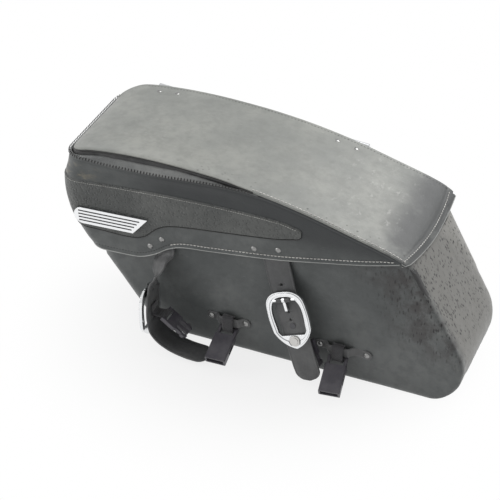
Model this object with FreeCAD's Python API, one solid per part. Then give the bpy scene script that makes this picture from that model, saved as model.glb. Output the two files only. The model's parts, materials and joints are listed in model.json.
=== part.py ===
"""Left-hand motorcycle saddlebag: hard-lined leather bag with a hinged lid and two quick-release straps.

Frame: X runs from the front nose to the rear end, Y from the outboard face to the wheel side, Z up.
The origin lies on the flat base, under the middle of the bag.
"""
import FreeCAD, Part
import math
import os

V = FreeCAD.Vector
UP = V(0, 0, 1)

# Driving dimensions, millimetres
BAG_DEPTH = 180.0          # outboard face to wheel-side face of the body
HALF_DEPTH = BAG_DEPTH / 2
BASE_RADIUS = 60.0         # round from the base into the front slope and the rear end
FRONT_ARC_X = -191.3       # where the base starts to curl up at the front
REAR_ARC_X = 180.0         # and at the rear
FRONT_SLOPE_DEG = 36.1     # lean of the front end from upright
REAR_SLOPE_DEG = 29.2      # lean of the rear end from upright
FRONT_WALL_X = -298.3      # upright front wall that the lid nose shuts over
BASE_EDGE_RADIUS = 14.0    # long edges of the base
CORNERS = {"front_out": 30.0, "front_in": 12.0, "rear_out": 7.0, "rear_in": 45.0}
LEATHER = 2.8
FACE_GAP = 0.25            # between pieces that lie along each other on a curve
LINER = 2.5
SHARPEST = 0.8             # least corner radius of an inset form
FORM_TOP = 310.0           # the closed forms reach up to here
RING_ORDER = ("front_out", "rear_out", "rear_in", "front_in")
LID_FACE_Y = -98.0         # outboard face of the lid skirt
NOSE_RADIUS = 131.0        # side-view round of the lid nose
NOSE_CENTRE = (-220.0, 217.0)
LID_CORNER = 30.0
TOP_THICK = 5.0            # top leather with its backing
SKIRT_OPEN_X = -309.0      # no wheel-side skirt rearward of this, so the nose swings clear of the body
SKIRT_END_X = 149.0        # the outboard skirt runs out here, under the falling top
STRAP_W = 38.0
STRAP_T = 3.0
STRAP_Y = -93.4            # mid-thickness of a strap where it hangs behind the lid skirt
HINGE_X = (-262.0, 8.5)
HINGE_Y = 96.0
HINGE_DROP = 8.4           # hinge axis below the top surface at each hinge
LEAF_HALF = 24.0
LEAF_T = 1.8
KNUCKLE_R = 4.0
PIN_R = 2.0
RUN_CLEAR = 0.05
RIVET_R = 2.4
BOLT_R = 4.25
BOLT_SPACING = 240.0
BOLT_MID = (-30.0, 200.0)  # x, z of the middle of the upper pair of holes
LOWER_BOLT = (-30.0, 75.0)

# Side-view lines as (x, z)
TOP_LINE = [(-372, 262), (-336, 276), (-300, 287), (-250, 292.5), (-200, 294), (-150, 292.5), (-100, 289),
            (-40, 281), (20, 268.5), (80, 252), (125, 239), (150, 229), (166, 217), (178, 203)]
LID_EDGE = [(-372, 124), (-300, 125.5), (-255, 127), (-228, 130), (-206, 140), (-186, 154), (-165, 162.5),
            (-124, 168), (-26, 182), (37, 195), (96, 208), (130, 217.5), (180, 234)]
SEAM_LINE = [(-372, 258), (-330, 269), (-270, 269.5), (-198, 272), (-140, 276.5), (-90, 279), (-50, 276.5)]
SEAM_MERGE_X = -50.0       # from here rearward the side panel runs up to the underside of the top panel
RIM_OUTBOARD = [(-400, 158), (-220, 165), (-100, 192), (60, 221), (110, 227), (150, 216), (180, 190)]
RIM_DROP = 12.0            # body rim below the lid top, along the wheel side
TEXTURE_TOP = [(-372, 230), (-306, 235), (-261, 239), (-164, 245), (-81, 247), (-20, 245.5), (2, 241)]
TEXTURE_LOW = [(-1, 222.5), (-27, 216), (-99, 206), (-160, 198), (-187, 192), (-203, 183), (-220, 167),
               (-240, 160), (-288, 159), (-372, 158)]
TEXTURE_TIP = (11, 233)


def line_z(points, x):
    """Height of a smooth line through the points at x."""
    last = len(points) - 2
    i = max(0, min(last, sum(1 for p in points[1:-1] if p[0] <= x)))
    a, b = points[i], points[i + 1]
    before, after = points[max(i - 1, 0)], points[min(i + 2, last + 1)]
    span = b[0] - a[0]
    slope_a = (b[1] - before[1]) / (b[0] - before[0])
    slope_b = (after[1] - a[1]) / (after[0] - a[0])
    t = (x - a[0]) / span
    return ((2 * t ** 3 - 3 * t ** 2 + 1) * a[1] + (t ** 3 - 2 * t ** 2 + t) * span * slope_a
            + (3 * t ** 2 - 2 * t ** 3) * b[1] + (t ** 3 - t ** 2) * span * slope_b)


def top_z(x):
    """Height of the lid's top surface."""
    return line_z(TOP_LINE, x)


def under_top_z(x):
    """Height of the underside of the lid's top panel."""
    return top_z(x) - TOP_THICK


def seam_z(x):
    """Height of the seam along the top of the lid's side panel."""
    if x >= SEAM_MERGE_X:
        return under_top_z(x) - FACE_GAP
    return line_z(SEAM_LINE + [(0, under_top_z(0) - FACE_GAP)], x)


def lid_edge_z(x):
    """Height of the lid's lower edge."""
    return line_z(LID_EDGE, x)


def smooth(points):
    """One spline edge through the points."""
    curve = Part.BSplineCurve()
    curve.interpolate(points)
    return curve.toShape()


def box(x0, x1, y0, y1, z0, z1):
    """A block between two corners."""
    return Part.makeBox(x1 - x0, y1 - y0, z1 - z0, V(x0, y0, z0))


def cylinder(centre, axis, radius, start, end):
    """A cylinder along axis, from start to end as measured from centre."""
    way = V(axis).normalize()
    return Part.makeCylinder(radius, end - start, centre + way * start, way)


def band(lower, upper, x0=-370.0, x1=176.0, y0=-130.0, y1=130.0, step=18.0):
    """The slab between two side-view height functions, across the bag."""
    count = int((x1 - x0) / step)
    xs = [x0 + (x1 - x0) * i / count for i in range(count + 1)]
    low = [V(x, y0, lower(x)) for x in xs]
    high = [V(x, y0, upper(x)) for x in xs]
    ends = Part.makeLine(low[-1], high[-1]), Part.makeLine(high[0], low[0])
    wire = Part.Wire([smooth(low), ends[0], smooth(high), ends[1]])
    return Part.Face(wire).extrude(V(0, y1 - y0, 0))


def rounded_ring(x0, x1, y0, y1, z, radii):
    """A level rounded rectangle; radii are front_out, rear_out, rear_in, front_in."""
    corners = [(x0, y0, 1, 1), (x1, y0, -1, 1), (x1, y1, -1, -1), (x0, y1, 1, -1)]
    arcs = []
    for i, ((x, y, sx, sy), r) in enumerate(zip(corners, radii)):
        along_x, along_y = V(x + sx * r, y, z), V(x, y + sy * r, z)
        k = r * (1 - math.sqrt(0.5))
        ends = (along_y, along_x) if i in (0, 2) else (along_x, along_y)
        arcs.append((ends[0], V(x + sx * k, y + sy * k, z), ends[1]))
    edges = []
    for i, (start, middle, end) in enumerate(arcs):
        edges.append(Part.Arc(start, middle, end).toShape())
        edges.append(Part.makeLine(end, arcs[(i + 1) % 4][0]))
    return Part.Wire(edges)


def body_form(inset):
    """The body's closed form, inset from its outer faces, up past its rim."""
    lean_f, lean_r = math.radians(FRONT_SLOPE_DEG), math.radians(REAR_SLOPE_DEG)
    radius = BASE_RADIUS - inset
    bend_f = BASE_RADIUS - radius * math.sin(lean_f)
    bend_r = BASE_RADIUS + radius * math.sin(lean_r)

    def front(z):
        if z < bend_f:
            return FRONT_ARC_X - math.sqrt(radius ** 2 - (BASE_RADIUS - z) ** 2)
        start = FRONT_ARC_X - radius * math.cos(lean_f)
        return max(start - (z - bend_f) * math.tan(lean_f), FRONT_WALL_X + inset)

    def rear(z):
        if z < bend_r:
            return REAR_ARC_X + math.sqrt(radius ** 2 - (BASE_RADIUS - z) ** 2)
        return REAR_ARC_X + radius * math.cos(lean_r) - (z - bend_r) * math.tan(lean_r)

    knee = bend_f + (FRONT_ARC_X - radius * math.cos(lean_f) - FRONT_WALL_X - inset) / math.tan(lean_f)
    levels = [inset, inset + 1.2, 5 + inset / 2, 9.5, BASE_EDGE_RADIUS, 19, bend_f, 34, 45, BASE_RADIUS, 75,
              bend_r, knee, FORM_TOP]
    rings = []
    for z in levels:
        edge = BASE_EDGE_RADIUS - inset
        under = max(BASE_EDGE_RADIUS - z, 0)
        y = HALF_DEPTH - inset - (edge - math.sqrt(edge ** 2 - under ** 2))
        radii = [max(CORNERS[name] - inset, SHARPEST) for name in RING_ORDER]
        rings.append(rounded_ring(front(z), rear(z), -y, y, z, radii))
    return Part.makeLoft(rings, True, True)


def lid_form(inset):
    """The lid's closed form, inset from its outer faces, from below its edge to above its top."""
    radius = NOSE_RADIUS - inset
    rings = []
    for z in [100 + 12.5 * i for i in range(17)]:
        front = NOSE_CENTRE[0] - math.sqrt(radius ** 2 - (z - NOSE_CENTRE[1]) ** 2)
        corner = LID_CORNER - inset
        radii = [corner, SHARPEST, SHARPEST, corner]
        rings.append(rounded_ring(front, 190, LID_FACE_Y + inset, HALF_DEPTH - inset, z, radii))
    return Part.makeLoft(rings, True, True)


def above_rim(extra=0.0):
    """Everything above the body's rim, which climbs from the outboard wall to the hinge side."""
    xs = [-400, -340, -280, -220, -160, -100, -40, 20, 70, 110, 135, 155, 170]
    sides = []
    heights = {-HALF_DEPTH: lambda x: line_z(RIM_OUTBOARD, x),
               HALF_DEPTH: lambda x: top_z(max(x, TOP_LINE[0][0])) - RIM_DROP}
    for y, height in heights.items():
        points = [V(x, 0, height(x) + extra) for x in xs] + [V(260, 0, height(170) - 60), V(260, 0, 340),
                                                             V(-400, 0, 340)]
        sides.append((y, points))
    (y0, low), (y1, high) = sides
    outer = []
    for y in (-130.0, 130.0):
        t = (y - y0) / (y1 - y0)
        ring = [V(a.x, y, a.z + (b.z - a.z) * t) for a, b in zip(low, high)]
        outer.append(Part.makePolygon(ring + ring[:1]))
    return Part.makeLoft(outer, True, True)


def ribbon(stations, width, thick):
    """A strap through stations of (centre, width direction), flat across the width."""
    rings = []
    for i, (centre, across) in enumerate(stations):
        before, after = stations[max(i - 1, 0)][0], stations[min(i + 1, len(stations) - 1)][0]
        w = V(across).normalize()
        n = (after - before).cross(w).normalize()
        corners = [centre + w * (sw * width / 2) + n * (sn * thick / 2)
                   for sw, sn in ((-1, -1), (1, -1), (1, 1), (-1, 1))]
        rings.append(Part.makePolygon(corners + corners[:1]))
    return Part.makeLoft(rings, True, True)


def place(shape, origin, x_way, z_way):
    """Move a shape from its own axes so that its x and z lie along the ways given, at origin."""
    z = V(z_way).normalize()
    x = V(x_way)
    x = (x - z * x.dot(z)).normalize()
    y = z.cross(x)
    rows = [(x.x, y.x, z.x, origin.x), (x.y, y.y, z.y, origin.y), (x.z, y.z, z.z, origin.z), (0, 0, 0, 1)]
    matrix = FreeCAD.Matrix(*[value for row in rows for value in row])
    moved = shape.copy()
    moved.Placement = FreeCAD.Placement(matrix)
    return moved


def rivet(head, way, length, head_r=4.0, head_h=1.6, tail_r=3.4, tail_h=0.9):
    """A domed rivet: its head stands on the point head, its shank runs along way, then a clinched tail."""
    way = V(way).normalize()
    ball = (head_r ** 2 + head_h ** 2) / (2 * head_h)
    cap = cylinder(head, way, head_r + 1, -head_h - 1, 0)
    dome = Part.makeSphere(ball, head + way * (ball - head_h)).common(cap)
    shank = cylinder(head, way, RIVET_R, 0, length)
    tail = cylinder(head, way, tail_r, length, length + tail_h)
    return dome.fuse(shank).fuse(tail).removeSplitter()


def shanks(rivets_at, way, length, radius=RIVET_R):
    """The holes that a row of rivets passes through."""
    return Part.makeCompound([cylinder(p, way, radius, -1, length + 1) for p in rivets_at])


def drilled(shape, holes):
    """The shape with each hole cut in turn."""
    for hole in holes:
        shape = shape.cut(hole)
    return shape


nodes = {}


def keep(name, shape):
    """Put a sub-part on the list to write."""
    nodes[name] = shape


# ---------------------------------------------------------------- body of the bag
OUT = V(0, -1, 0)
IN = V(0, 1, 0)

ANCHOR_Z = 54.0
ANCHORS = {"rear": dict(rivets=(38.0, 106.0), socket_x=67.0, yaw=7.0, drop=24.0),
           "front": dict(rivets=(-124.0, -72.5), socket_x=-96.0, yaw=2.0, drop=19.0)}
ANCHOR_T = 2.4
ANCHOR_H = 14.0
LOOP_Y = -97.3             # middle of the webbing loop that hangs on an anchor
BAR_Z = 41.0
BRIDGE_HALF = 13.5
RAMP = 3.5

WALL = LEATHER + LINER
outer_face = -HALF_DEPTH
anchor_heads = [V(x, outer_face - ANCHOR_T, ANCHOR_Z) for a in ANCHORS.values() for x in a["rivets"]]
leaf_top = {x: top_z(x) - 15.0 for x in HINGE_X}
leaf_rivets = [V(x + dx, HALF_DEPTH + LEAF_T, leaf_top[x] - dz) for x in HINGE_X for dx in (-14, 14)
               for dz in (12, 32)]
bolt_points = [V(BOLT_MID[0] - BOLT_SPACING / 2, HALF_DEPTH, BOLT_MID[1]),
               V(BOLT_MID[0] + BOLT_SPACING / 2, HALF_DEPTH, BOLT_MID[1]),
               V(LOWER_BOLT[0], HALF_DEPTH, LOWER_BOLT[1])]
GROMMET_R = 8.0
PLATE_T = 3.0
body_holes = shanks(anchor_heads, IN, ANCHOR_T + WALL).Solids
body_holes += shanks(leaf_rivets, OUT, LEAF_T + WALL).Solids
body_holes += shanks(bolt_points, OUT, WALL + PLATE_T, GROMMET_R).Solids


def keep_panels(shell, names, wrap, corner_wrap):
    """Drill a shell, cut it off at the rim and split it into outboard side, wheel side and gusset.

    wrap is how far the sides fold round their edges, corner_wrap how far round the front outboard corner.
    """
    shell = drilled(shell, body_holes).cut(rim)
    outboard_zone = box(-420, -150, -120, corner_wrap - HALF_DEPTH, -10, 340)
    outboard_zone = outboard_zone.fuse(box(-160, 300, -120, wrap - HALF_DEPTH, -10, 340))
    wheel_zone = box(-420, 300, HALF_DEPTH - wrap, 120, -10, 340)
    gusset = shell.cut(outboard_zone).cut(wheel_zone)
    for name, piece in zip(names, (shell.common(outboard_zone), shell.common(wheel_zone), gusset)):
        keep(name, piece)


rim = above_rim()
body_mid = body_form(LEATHER)
keep_panels(body_form(0).cut(body_mid), ("outboard_panel", "back_panel", "gusset_panel"), 8.0, 28.0)
keep_panels(body_mid.cut(body_form(WALL)), ("outboard_liner", "back_liner", "gusset_liner"), 11.0, 25.5)

inner_face = HALF_DEPTH - WALL
plates = []
for (x, z), reach, rise in ((BOLT_MID, 134, 16), (LOWER_BOLT, 32, 27)):
    plate = box(x - reach, x + reach, inner_face - PLATE_T, inner_face, z - rise, z + rise)
    upright = [e for e in plate.Edges if abs(e.tangentAt(e.FirstParameter).y) > 0.9]
    plates.append(plate.makeFillet(8, upright).cut(shanks(bolt_points, OUT, WALL + PLATE_T, GROMMET_R)))
keep("backing_plates", Part.makeCompound(plates))

FLANGE_R = 13.0
FLANGE_T = 2.0
grommets = []
for p in bolt_points:
    ring = cylinder(p, OUT, GROMMET_R, 0, WALL + PLATE_T)
    ring = ring.fuse(cylinder(p, OUT, FLANGE_R, -FLANGE_T, 0))
    ring = ring.fuse(cylinder(p, OUT, FLANGE_R, WALL + PLATE_T, WALL + PLATE_T + FLANGE_T))
    grommets.append(ring.cut(cylinder(p, OUT, BOLT_R, -20, 40)).removeSplitter())
keep("mount_grommets", Part.makeCompound(grommets))

# ---------------------------------------------------------------- lid
lid_outer, lid_mid, lid_inner = lid_form(0), lid_form(LEATHER), lid_form(LEATHER + LINER)
open_side = box(SKIRT_OPEN_X, 260, HALF_DEPTH - 12, 120, 60, 400)
strap_rivet_spots = {"front": [(-213.0, 151.5), (-195.0, 167.5)], "rear": [(-58.0, 190.5), (-23.0, 198.0)]}
strap_heads = {k: [V(x, LID_FACE_Y, z) for x, z in spots] for k, spots in strap_rivet_spots.items()}
hinge_heads = [V(x + dx, 73.5, 0) for x in HINGE_X for dx in (-14, 14)]
hinge_heads = [V(p.x, p.y, top_z(p.x)) for p in hinge_heads]
hinge_ways = [V(top_z(p.x + 1) - top_z(p.x - 1), 0, -2).normalize() for p in hinge_heads]
BADGE_AT = (-326.0, 165.5)
BADGE_TILT = 2.8
BADGE_STUDS = (34.0, 84.0)
TEXTURE_T = 1.8
badge_face_y = LID_FACE_Y - TEXTURE_T


def badge_point(u, v):
    """A point on the badge's back, from its own lengthwise and upright measures."""
    tilt = math.radians(BADGE_TILT)
    return V(BADGE_AT[0] + u * math.cos(tilt) - v * math.sin(tilt), badge_face_y,
             BADGE_AT[1] + u * math.sin(tilt) + v * math.cos(tilt))


STRAP_GAP = 0.4            # strap root behind the skirt leather
root_front_y = LID_FACE_Y + LEATHER + STRAP_GAP
root_back_y = root_front_y + STRAP_T
stud_points = [badge_point(u, 16.0) for u in BADGE_STUDS]
stud_holes = shanks(stud_points, IN, 12, 1.6)
side_holes = shanks(strap_heads["front"] + strap_heads["rear"], IN, 8).fuse(stud_holes)
top_holes = Part.makeCompound([cylinder(p, way, RIVET_R, -2, 14) for p, way in zip(hinge_heads, hinge_ways)])

LINER_WALL_END_X = 66.0
LINER_RISE = 44.0          # the lid liner stops this far above the lid's edge, clear of the strap roots
side = lid_outer.cut(lid_mid).cut(open_side).common(band(lid_edge_z, seam_z, x1=SKIRT_END_X))
keep("lid_side_panel", side.cut(side_holes))
wall = lid_mid.cut(lid_inner).cut(open_side)
wall = wall.common(band(lambda x: lid_edge_z(x) + LINER_RISE, under_top_z, x1=LINER_WALL_END_X))
LINER_FRONT_X = -336.0
liner_plan = box(LINER_FRONT_X, 160, -130, HALF_DEPTH - 4, 150, 340).common(lid_mid)
ceiling = liner_plan.common(band(lambda x: under_top_z(x) - LINER, under_top_z))
keep("lid_liner", wall.fuse(ceiling).cut(side_holes).cut(top_holes).removeSplitter())

TOP_ENDS = (-333.0, 167.0)
TOP_OVERHANG = 0.5
TOP_CORNERS = (26.0, 10.0, 8.0, 30.0)
top_ring = rounded_ring(*TOP_ENDS, LID_FACE_Y - TOP_OVERHANG, HALF_DEPTH, 150, TOP_CORNERS)
top_plan = Part.Face(top_ring).extrude(V(0, 0, 200))
keep("lid_top_panel", band(under_top_z, top_z).common(top_plan).cut(top_holes))

WELT = 4.0
welt_zone = band(lambda x: seam_z(x) + FACE_GAP, lambda x: min(seam_z(x) + WELT, under_top_z(x) - FACE_GAP),
                 x1=SEAM_MERGE_X - 40)
keep("lid_corner_welt", lid_form(-0.9).cut(lid_form(2.4)).cut(open_side).common(welt_zone))

texture_edge = smooth([V(x, -130, z) for x, z in TEXTURE_TOP])
low_edge = smooth([V(x, -130, z) for x, z in TEXTURE_LOW])
tip = Part.Arc(V(TEXTURE_TOP[-1][0], -130, TEXTURE_TOP[-1][1]), V(TEXTURE_TIP[0], -130, TEXTURE_TIP[1]),
               V(TEXTURE_LOW[0][0], -130, TEXTURE_LOW[0][1])).toShape()
front_ends = [V(line[i][0], -130, line[i][1]) for line, i in ((TEXTURE_LOW, -1), (TEXTURE_TOP, 0))]
close = Part.makeLine(*front_ends)
texture_zone = Part.Face(Part.Wire([texture_edge, tip, low_edge, close])).extrude(V(0, 210, 0))
texture = lid_form(-TEXTURE_T).cut(lid_form(0)).common(texture_zone)
keep("lid_texture_panel", texture.cut(stud_holes))

BADGE_LONG = 114.0
BADGE_TALL = 26.0
BADGE_T = 2.0
RIB_H = 1.4
half = BADGE_TALL / 2
outline = Part.Wire([Part.makeLine(badge_point(half, 0), badge_point(90, 0)),
                     Part.makeLine(badge_point(90, 0), badge_point(BADGE_LONG, BADGE_TALL)),
                     Part.makeLine(badge_point(BADGE_LONG, BADGE_TALL), badge_point(half, BADGE_TALL)),
                     Part.Arc(badge_point(half, BADGE_TALL), badge_point(0, half),
                              badge_point(half, 0)).toShape()])
badge = Part.Face(outline).extrude(OUT * (BADGE_T + RIB_H))
for i in range(4):
    v = 5.2 + i * 5.2
    start, reach = badge_point(7, v), badge_point(84 + v * 0.85, v) - badge_point(7, v)
    groove = Part.makeBox(reach.Length, 5, 2.2, V(0, 0, -1.1))
    badge_up = badge_point(0, 1) - badge_point(0, 0)
    badge = badge.cut(place(groove, start + OUT * (BADGE_T + 5), reach, badge_up))
for p in stud_points:
    badge = badge.fuse(cylinder(p, IN, 1.55, 0, 9.5))
keep("badge", badge.removeSplitter())
nut_y = LID_FACE_Y + WALL
keep("badge_nuts", Part.makeCompound([
    cylinder(V(p.x, nut_y, p.z), IN, 3.6, 0, 2.0).cut(cylinder(V(p.x, nut_y, p.z), IN, 1.55, -1, 4))
    for p in stud_points]))

# ---------------------------------------------------------------- hinges
axis_points = [V(x, HINGE_Y, top_z(x) - HINGE_DROP) for x in HINGE_X]
HINGE_WAY = (axis_points[1] - axis_points[0]).normalize()
MIDDLE = 10.0              # half length of the lid's knuckle
SIDE_GAP = 0.3
for name, centre in zip(("front", "rear"), axis_points):
    x = centre.x
    pin_hole = cylinder(centre, HINGE_WAY, PIN_R, -40, 40)
    run_hole = cylinder(centre, HINGE_WAY, PIN_R + RUN_CLEAR, -40, 40)
    top = leaf_top[x]
    leaf = box(x - LEAF_HALF, x + LEAF_HALF, HALF_DEPTH, HALF_DEPTH + LEAF_T, top - 44, top)
    for side_sign in (-1, 1):
        near, far = sorted((side_sign * (MIDDLE + SIDE_GAP), side_sign * LEAF_HALF))
        leaf = leaf.fuse(box(x + near, x + far, HALF_DEPTH, HINGE_Y - 1.5, top - 3, centre.z - 1.2))
        leaf = leaf.fuse(cylinder(centre, HINGE_WAY, KNUCKLE_R, near, far))
    leaf = leaf.cut(pin_hole).cut(shanks(leaf_rivets, OUT, 8)).removeSplitter()
    keep(f"hinge_{name}_body_leaf", leaf)
    keep(f"hinge_{name}_pin", cylinder(centre, HINGE_WAY, PIN_R, -LEAF_HALF - 1, LEAF_HALF + 1))
    drop = TOP_THICK + LINER
    under = band(lambda q: top_z(q) - drop - LEAF_T, lambda q: top_z(q) - drop, x - 60, x + 60, 54, 88, 8)
    flap = under.common(box(x - LEAF_HALF, x + LEAF_HALF, 50, 90, 150, 340))
    tongue = box(x - MIDDLE, x + MIDDLE, 84, HINGE_Y, centre.z - LEAF_T / 2, centre.z + LEAF_T / 2)
    knuckle = cylinder(centre, HINGE_WAY, KNUCKLE_R, -MIDDLE, MIDDLE)
    flap = flap.fuse(tongue).fuse(knuckle).cut(run_hole).cut(top_holes).removeSplitter()
    keep(f"hinge_{name}_lid_leaf", flap)
keep("hinge_lid_rivets", Part.makeCompound([rivet(p, way, TOP_THICK + LINER + LEAF_T)
                                            for p, way in zip(hinge_heads, hinge_ways)]))
keep("hinge_body_rivets", Part.makeCompound([rivet(p, OUT, LEAF_T + WALL, 3.8, 1.4) for p in leaf_rivets]))

# ---------------------------------------------------------------- straps and their fittings
BUCKLE_W = 60.0
BUCKLE_TALL = 88.0
FRAME_T = 4.0
BUCKLE_BAR_Y = -28.0
SEAT_GAP = 1.6             # buckle frame off the strap
KEEPER_W = 8.0
POST_R = 2.2
POST_DOWN = 12.0           # the screw post, down the strap from the buckle's middle
TILT_DEG = 8.0             # how far the frame rocks on its bar
BAR_R = 2.0
TONGUE_T = 2.6
STRAP_AXES = {"front": (V(-194.5, STRAP_Y, 143.2), V(0.812, 0, 0.584)),
              "rear": (V(-27.0, STRAP_Y, 177.6), V(0.982, 0, 0.189))}


def turned(angle, start, end):
    """A width direction turned by an angle from start towards end."""
    a = math.radians(angle)
    return V(start) * math.cos(a) + V(end) * math.sin(a)


front_axis, rear_axis = STRAP_AXES["front"][1], STRAP_AXES["rear"][1]
lean = V(0.93, 0, 0.368)
STRAP_PATHS = {
    "rear": [(STRAP_AXES["rear"][0], rear_axis), (V(-20, -96.8, 156), V(0.96, 0, 0.28)),
             (V(-13, -101.5, 138), lean), (V(18.5, -117.0, 60), lean), (V(29, -121.0, 33), lean),
             (V(37.5, -122.5, 12), lean)],
    "front": [(STRAP_AXES["front"][0], front_axis), (V(-197, -102, 131), turned(24, front_axis, OUT)),
              (V(-199, -107.5, 121), turned(50, V(0.95, 0, 0.3), OUT)),
              (V(-199, -114, 111), turned(74, V(1, 0, 0.1), OUT)),
              (V(-199, -120, 102), turned(88, V(1, 0, 0), OUT)),
              (V(-199, -122.5, 92), OUT), (V(-199, -123.5, 47), OUT), (V(-196.5, -124, 37), OUT),
              (V(-188, -124.5, 26), OUT), (V(-171, -125, 16), OUT), (V(-146, -126, 10.5), OUT),
              (V(-112, -126, 9), OUT)]}
# Where each buckle sits: its centre on the strap's outer face, across, down and outward
BUCKLES = {}
down_rear = (V(18.5, -117.0, 60) - V(-13, -101.5, 138)).normalize()
out_rear = down_rear.cross(V(lean).normalize()).normalize()
BUCKLES["rear"] = (V(1.6, -109.2, 101.0), down_rear.cross(out_rear), down_rear, out_rear)
BUCKLES["front"] = (V(-199, -123.2, 66), V(0, 1, 0), V(0, 0, -1), V(-1, 0, 0))


def buckle_outline(grow, bottom):
    """A closed buckle shape: domed top, upright sides and a pointed bottom; y runs down the strap."""
    w = BUCKLE_W / 2 + grow
    top, low = -BUCKLE_TALL / 2 + 4 - grow, bottom + grow
    half_outline = [V(0.95 * w, 18, 0), V(w, 0, 0), V(0.985 * w, -14, 0), V(0.86 * w, top + 10, 0),
                    V(0.52 * w, top + 2, 0)]
    points = [V(-p.x, p.y, 0) for p in half_outline] + [V(0, top, 0)] + half_outline[::-1]
    arch = smooth(points)
    hip = points[0].y
    right = Part.Arc(points[-1], V(w * 0.52, (hip + low) / 2 + 4.5, 0), V(0, low, 0)).toShape()
    left = Part.Arc(V(0, low, 0), V(-w * 0.52, (hip + low) / 2 + 4.5, 0), points[0]).toShape()
    return Part.Wire([arch, right, left])


def buckle_frame():
    """The cast frame in its own axes: x across, y down the strap, z outward from the strap."""
    outer = Part.Face(buckle_outline(0, BUCKLE_TALL / 2)).extrude(UP * FRAME_T)
    window_edge = buckle_outline(-7.0, 34.0)
    window = Part.Face(window_edge).extrude(UP * 12).common(box(-40, 40, -60, 24, -1, 20))
    frame = outer.cut(window)
    ridge = Part.Face(buckle_outline(-1.6, 42.0)).extrude(UP * (FRAME_T + 1.3))
    ridge = ridge.cut(Part.Face(buckle_outline(-4.6, 38.0)).extrude(UP * 12))
    frame = frame.fuse(ridge)
    axis = V(0, BUCKLE_BAR_Y, FRAME_T / 2 + 0.6)
    rise = (62 + axis.y) * math.tan(math.radians(TILT_DEG))
    relief = [V(0, axis.y + 2, -0.1), V(0, -60, -0.1), V(0, -60, rise)]
    relief = Part.Face(Part.makePolygon(relief + relief[:1])).extrude(V(80, 0, 0))
    relief.translate(V(-40, 0, 0))
    bar = cylinder(axis, V(1, 0, 0), BAR_R, -20, 20)
    return frame.cut(relief).fuse(bar).removeSplitter(), axis


def fittings(name):
    """The buckle, tongue, medallion, keeper, post and release plug of one strap."""
    centre, across, down, out = BUCKLES[name]
    seat = centre + out * (STRAP_T / 2 + SEAT_GAP)
    frame, bar = buckle_frame()
    disc_at = V(0, 32.0, FRAME_T)
    disc = cylinder(disc_at, UP, 7.6, 0, 2.0).fuse(cylinder(disc_at, UP, 5.4, 2.0, 2.8))
    shaft = cylinder(bar, V(1, 0, 0), BAR_R + 0.08, -30, 30)
    eye = cylinder(bar, V(1, 0, 0), BAR_R + 1.7, -2.3, 2.3)
    reach = box(-2.0, 2.0, bar.y, bar.y + 16, bar.z - 1.0, bar.z + TONGUE_T - 1.0)
    reach = reach.fuse(box(-2.0, 2.0, bar.y + 13, bar.y + 16, 0.4 - SEAT_GAP, bar.z))
    tongue = eye.fuse(reach).cut(shaft).removeSplitter()
    loops = []
    for x0 in (-11.0, 3.0):
        outer_r, inner_r = BAR_R + 1.5, BAR_R + 0.3
        ring = cylinder(bar, V(1, 0, 0), outer_r, x0, x0 + KEEPER_W)
        ring = ring.fuse(box(x0, x0 + KEEPER_W, bar.y - outer_r - 4, bar.y, -SEAT_GAP, -0.4))
        ring = ring.fuse(box(x0, x0 + KEEPER_W, bar.y - 2, bar.y + 2, -SEAT_GAP, bar.z - BAR_R))
        loops.append(ring.cut(cylinder(bar, V(1, 0, 0), inner_r, -40, 40)))
    post_at = V(0, POST_DOWN, 0)
    back = -(STRAP_T + SEAT_GAP)
    post = cylinder(post_at, UP, POST_R, back - 4.5, -SEAT_GAP)
    post = post.fuse(cylinder(post_at, UP, 4.4, -SEAT_GAP, -0.6))
    post = post.fuse(cylinder(post_at, UP, 3.6, back - 5.7, back - 4.5))
    made = {f"buckle_{name}": frame.cut(cylinder(disc_at, UP, 9, 0, 4)), f"medallion_{name}": disc,
            f"tongue_{name}": tongue, f"post_{name}": post.removeSplitter(),
            f"keeper_{name}": Part.makeCompound([solid for loop in loops for solid in loop.Solids])}
    for node, shape in made.items():
        keep(node, place(shape, seat, across, out))


def punched(name, strap):
    """The strap with its row of adjusting holes and the post's hole."""
    centre, _, down, out = BUCKLES[name]
    for reach in PUNCH_DOWN:
        strap = strap.cut(cylinder(centre + down * reach, out, PUNCH_R, -6, 6))
    return strap.cut(cylinder(centre + down * POST_DOWN, out, POST_R, -8, 8))


PUNCH_DOWN = (-48.0, -35.0, -9.0, 3.0)
PUNCH_R = 1.9
PLUG_W = 27.0
PLUG_T = 6.6
PLUG_BASE = 17.0
ARM_LONG = 25.0
# Where each plug hangs: its loop on the strap's inner face, and the way the plug points
PLUGS = {"front": (V(-178.0, -124.5, 62.0), V(0, -1, 0), V(0.80, 0, -0.60)),
         "rear": (V(22.0, -105.5, 62.0), V(0.93, 0, 0.368), V(0.368, 0, -0.93))}


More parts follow.
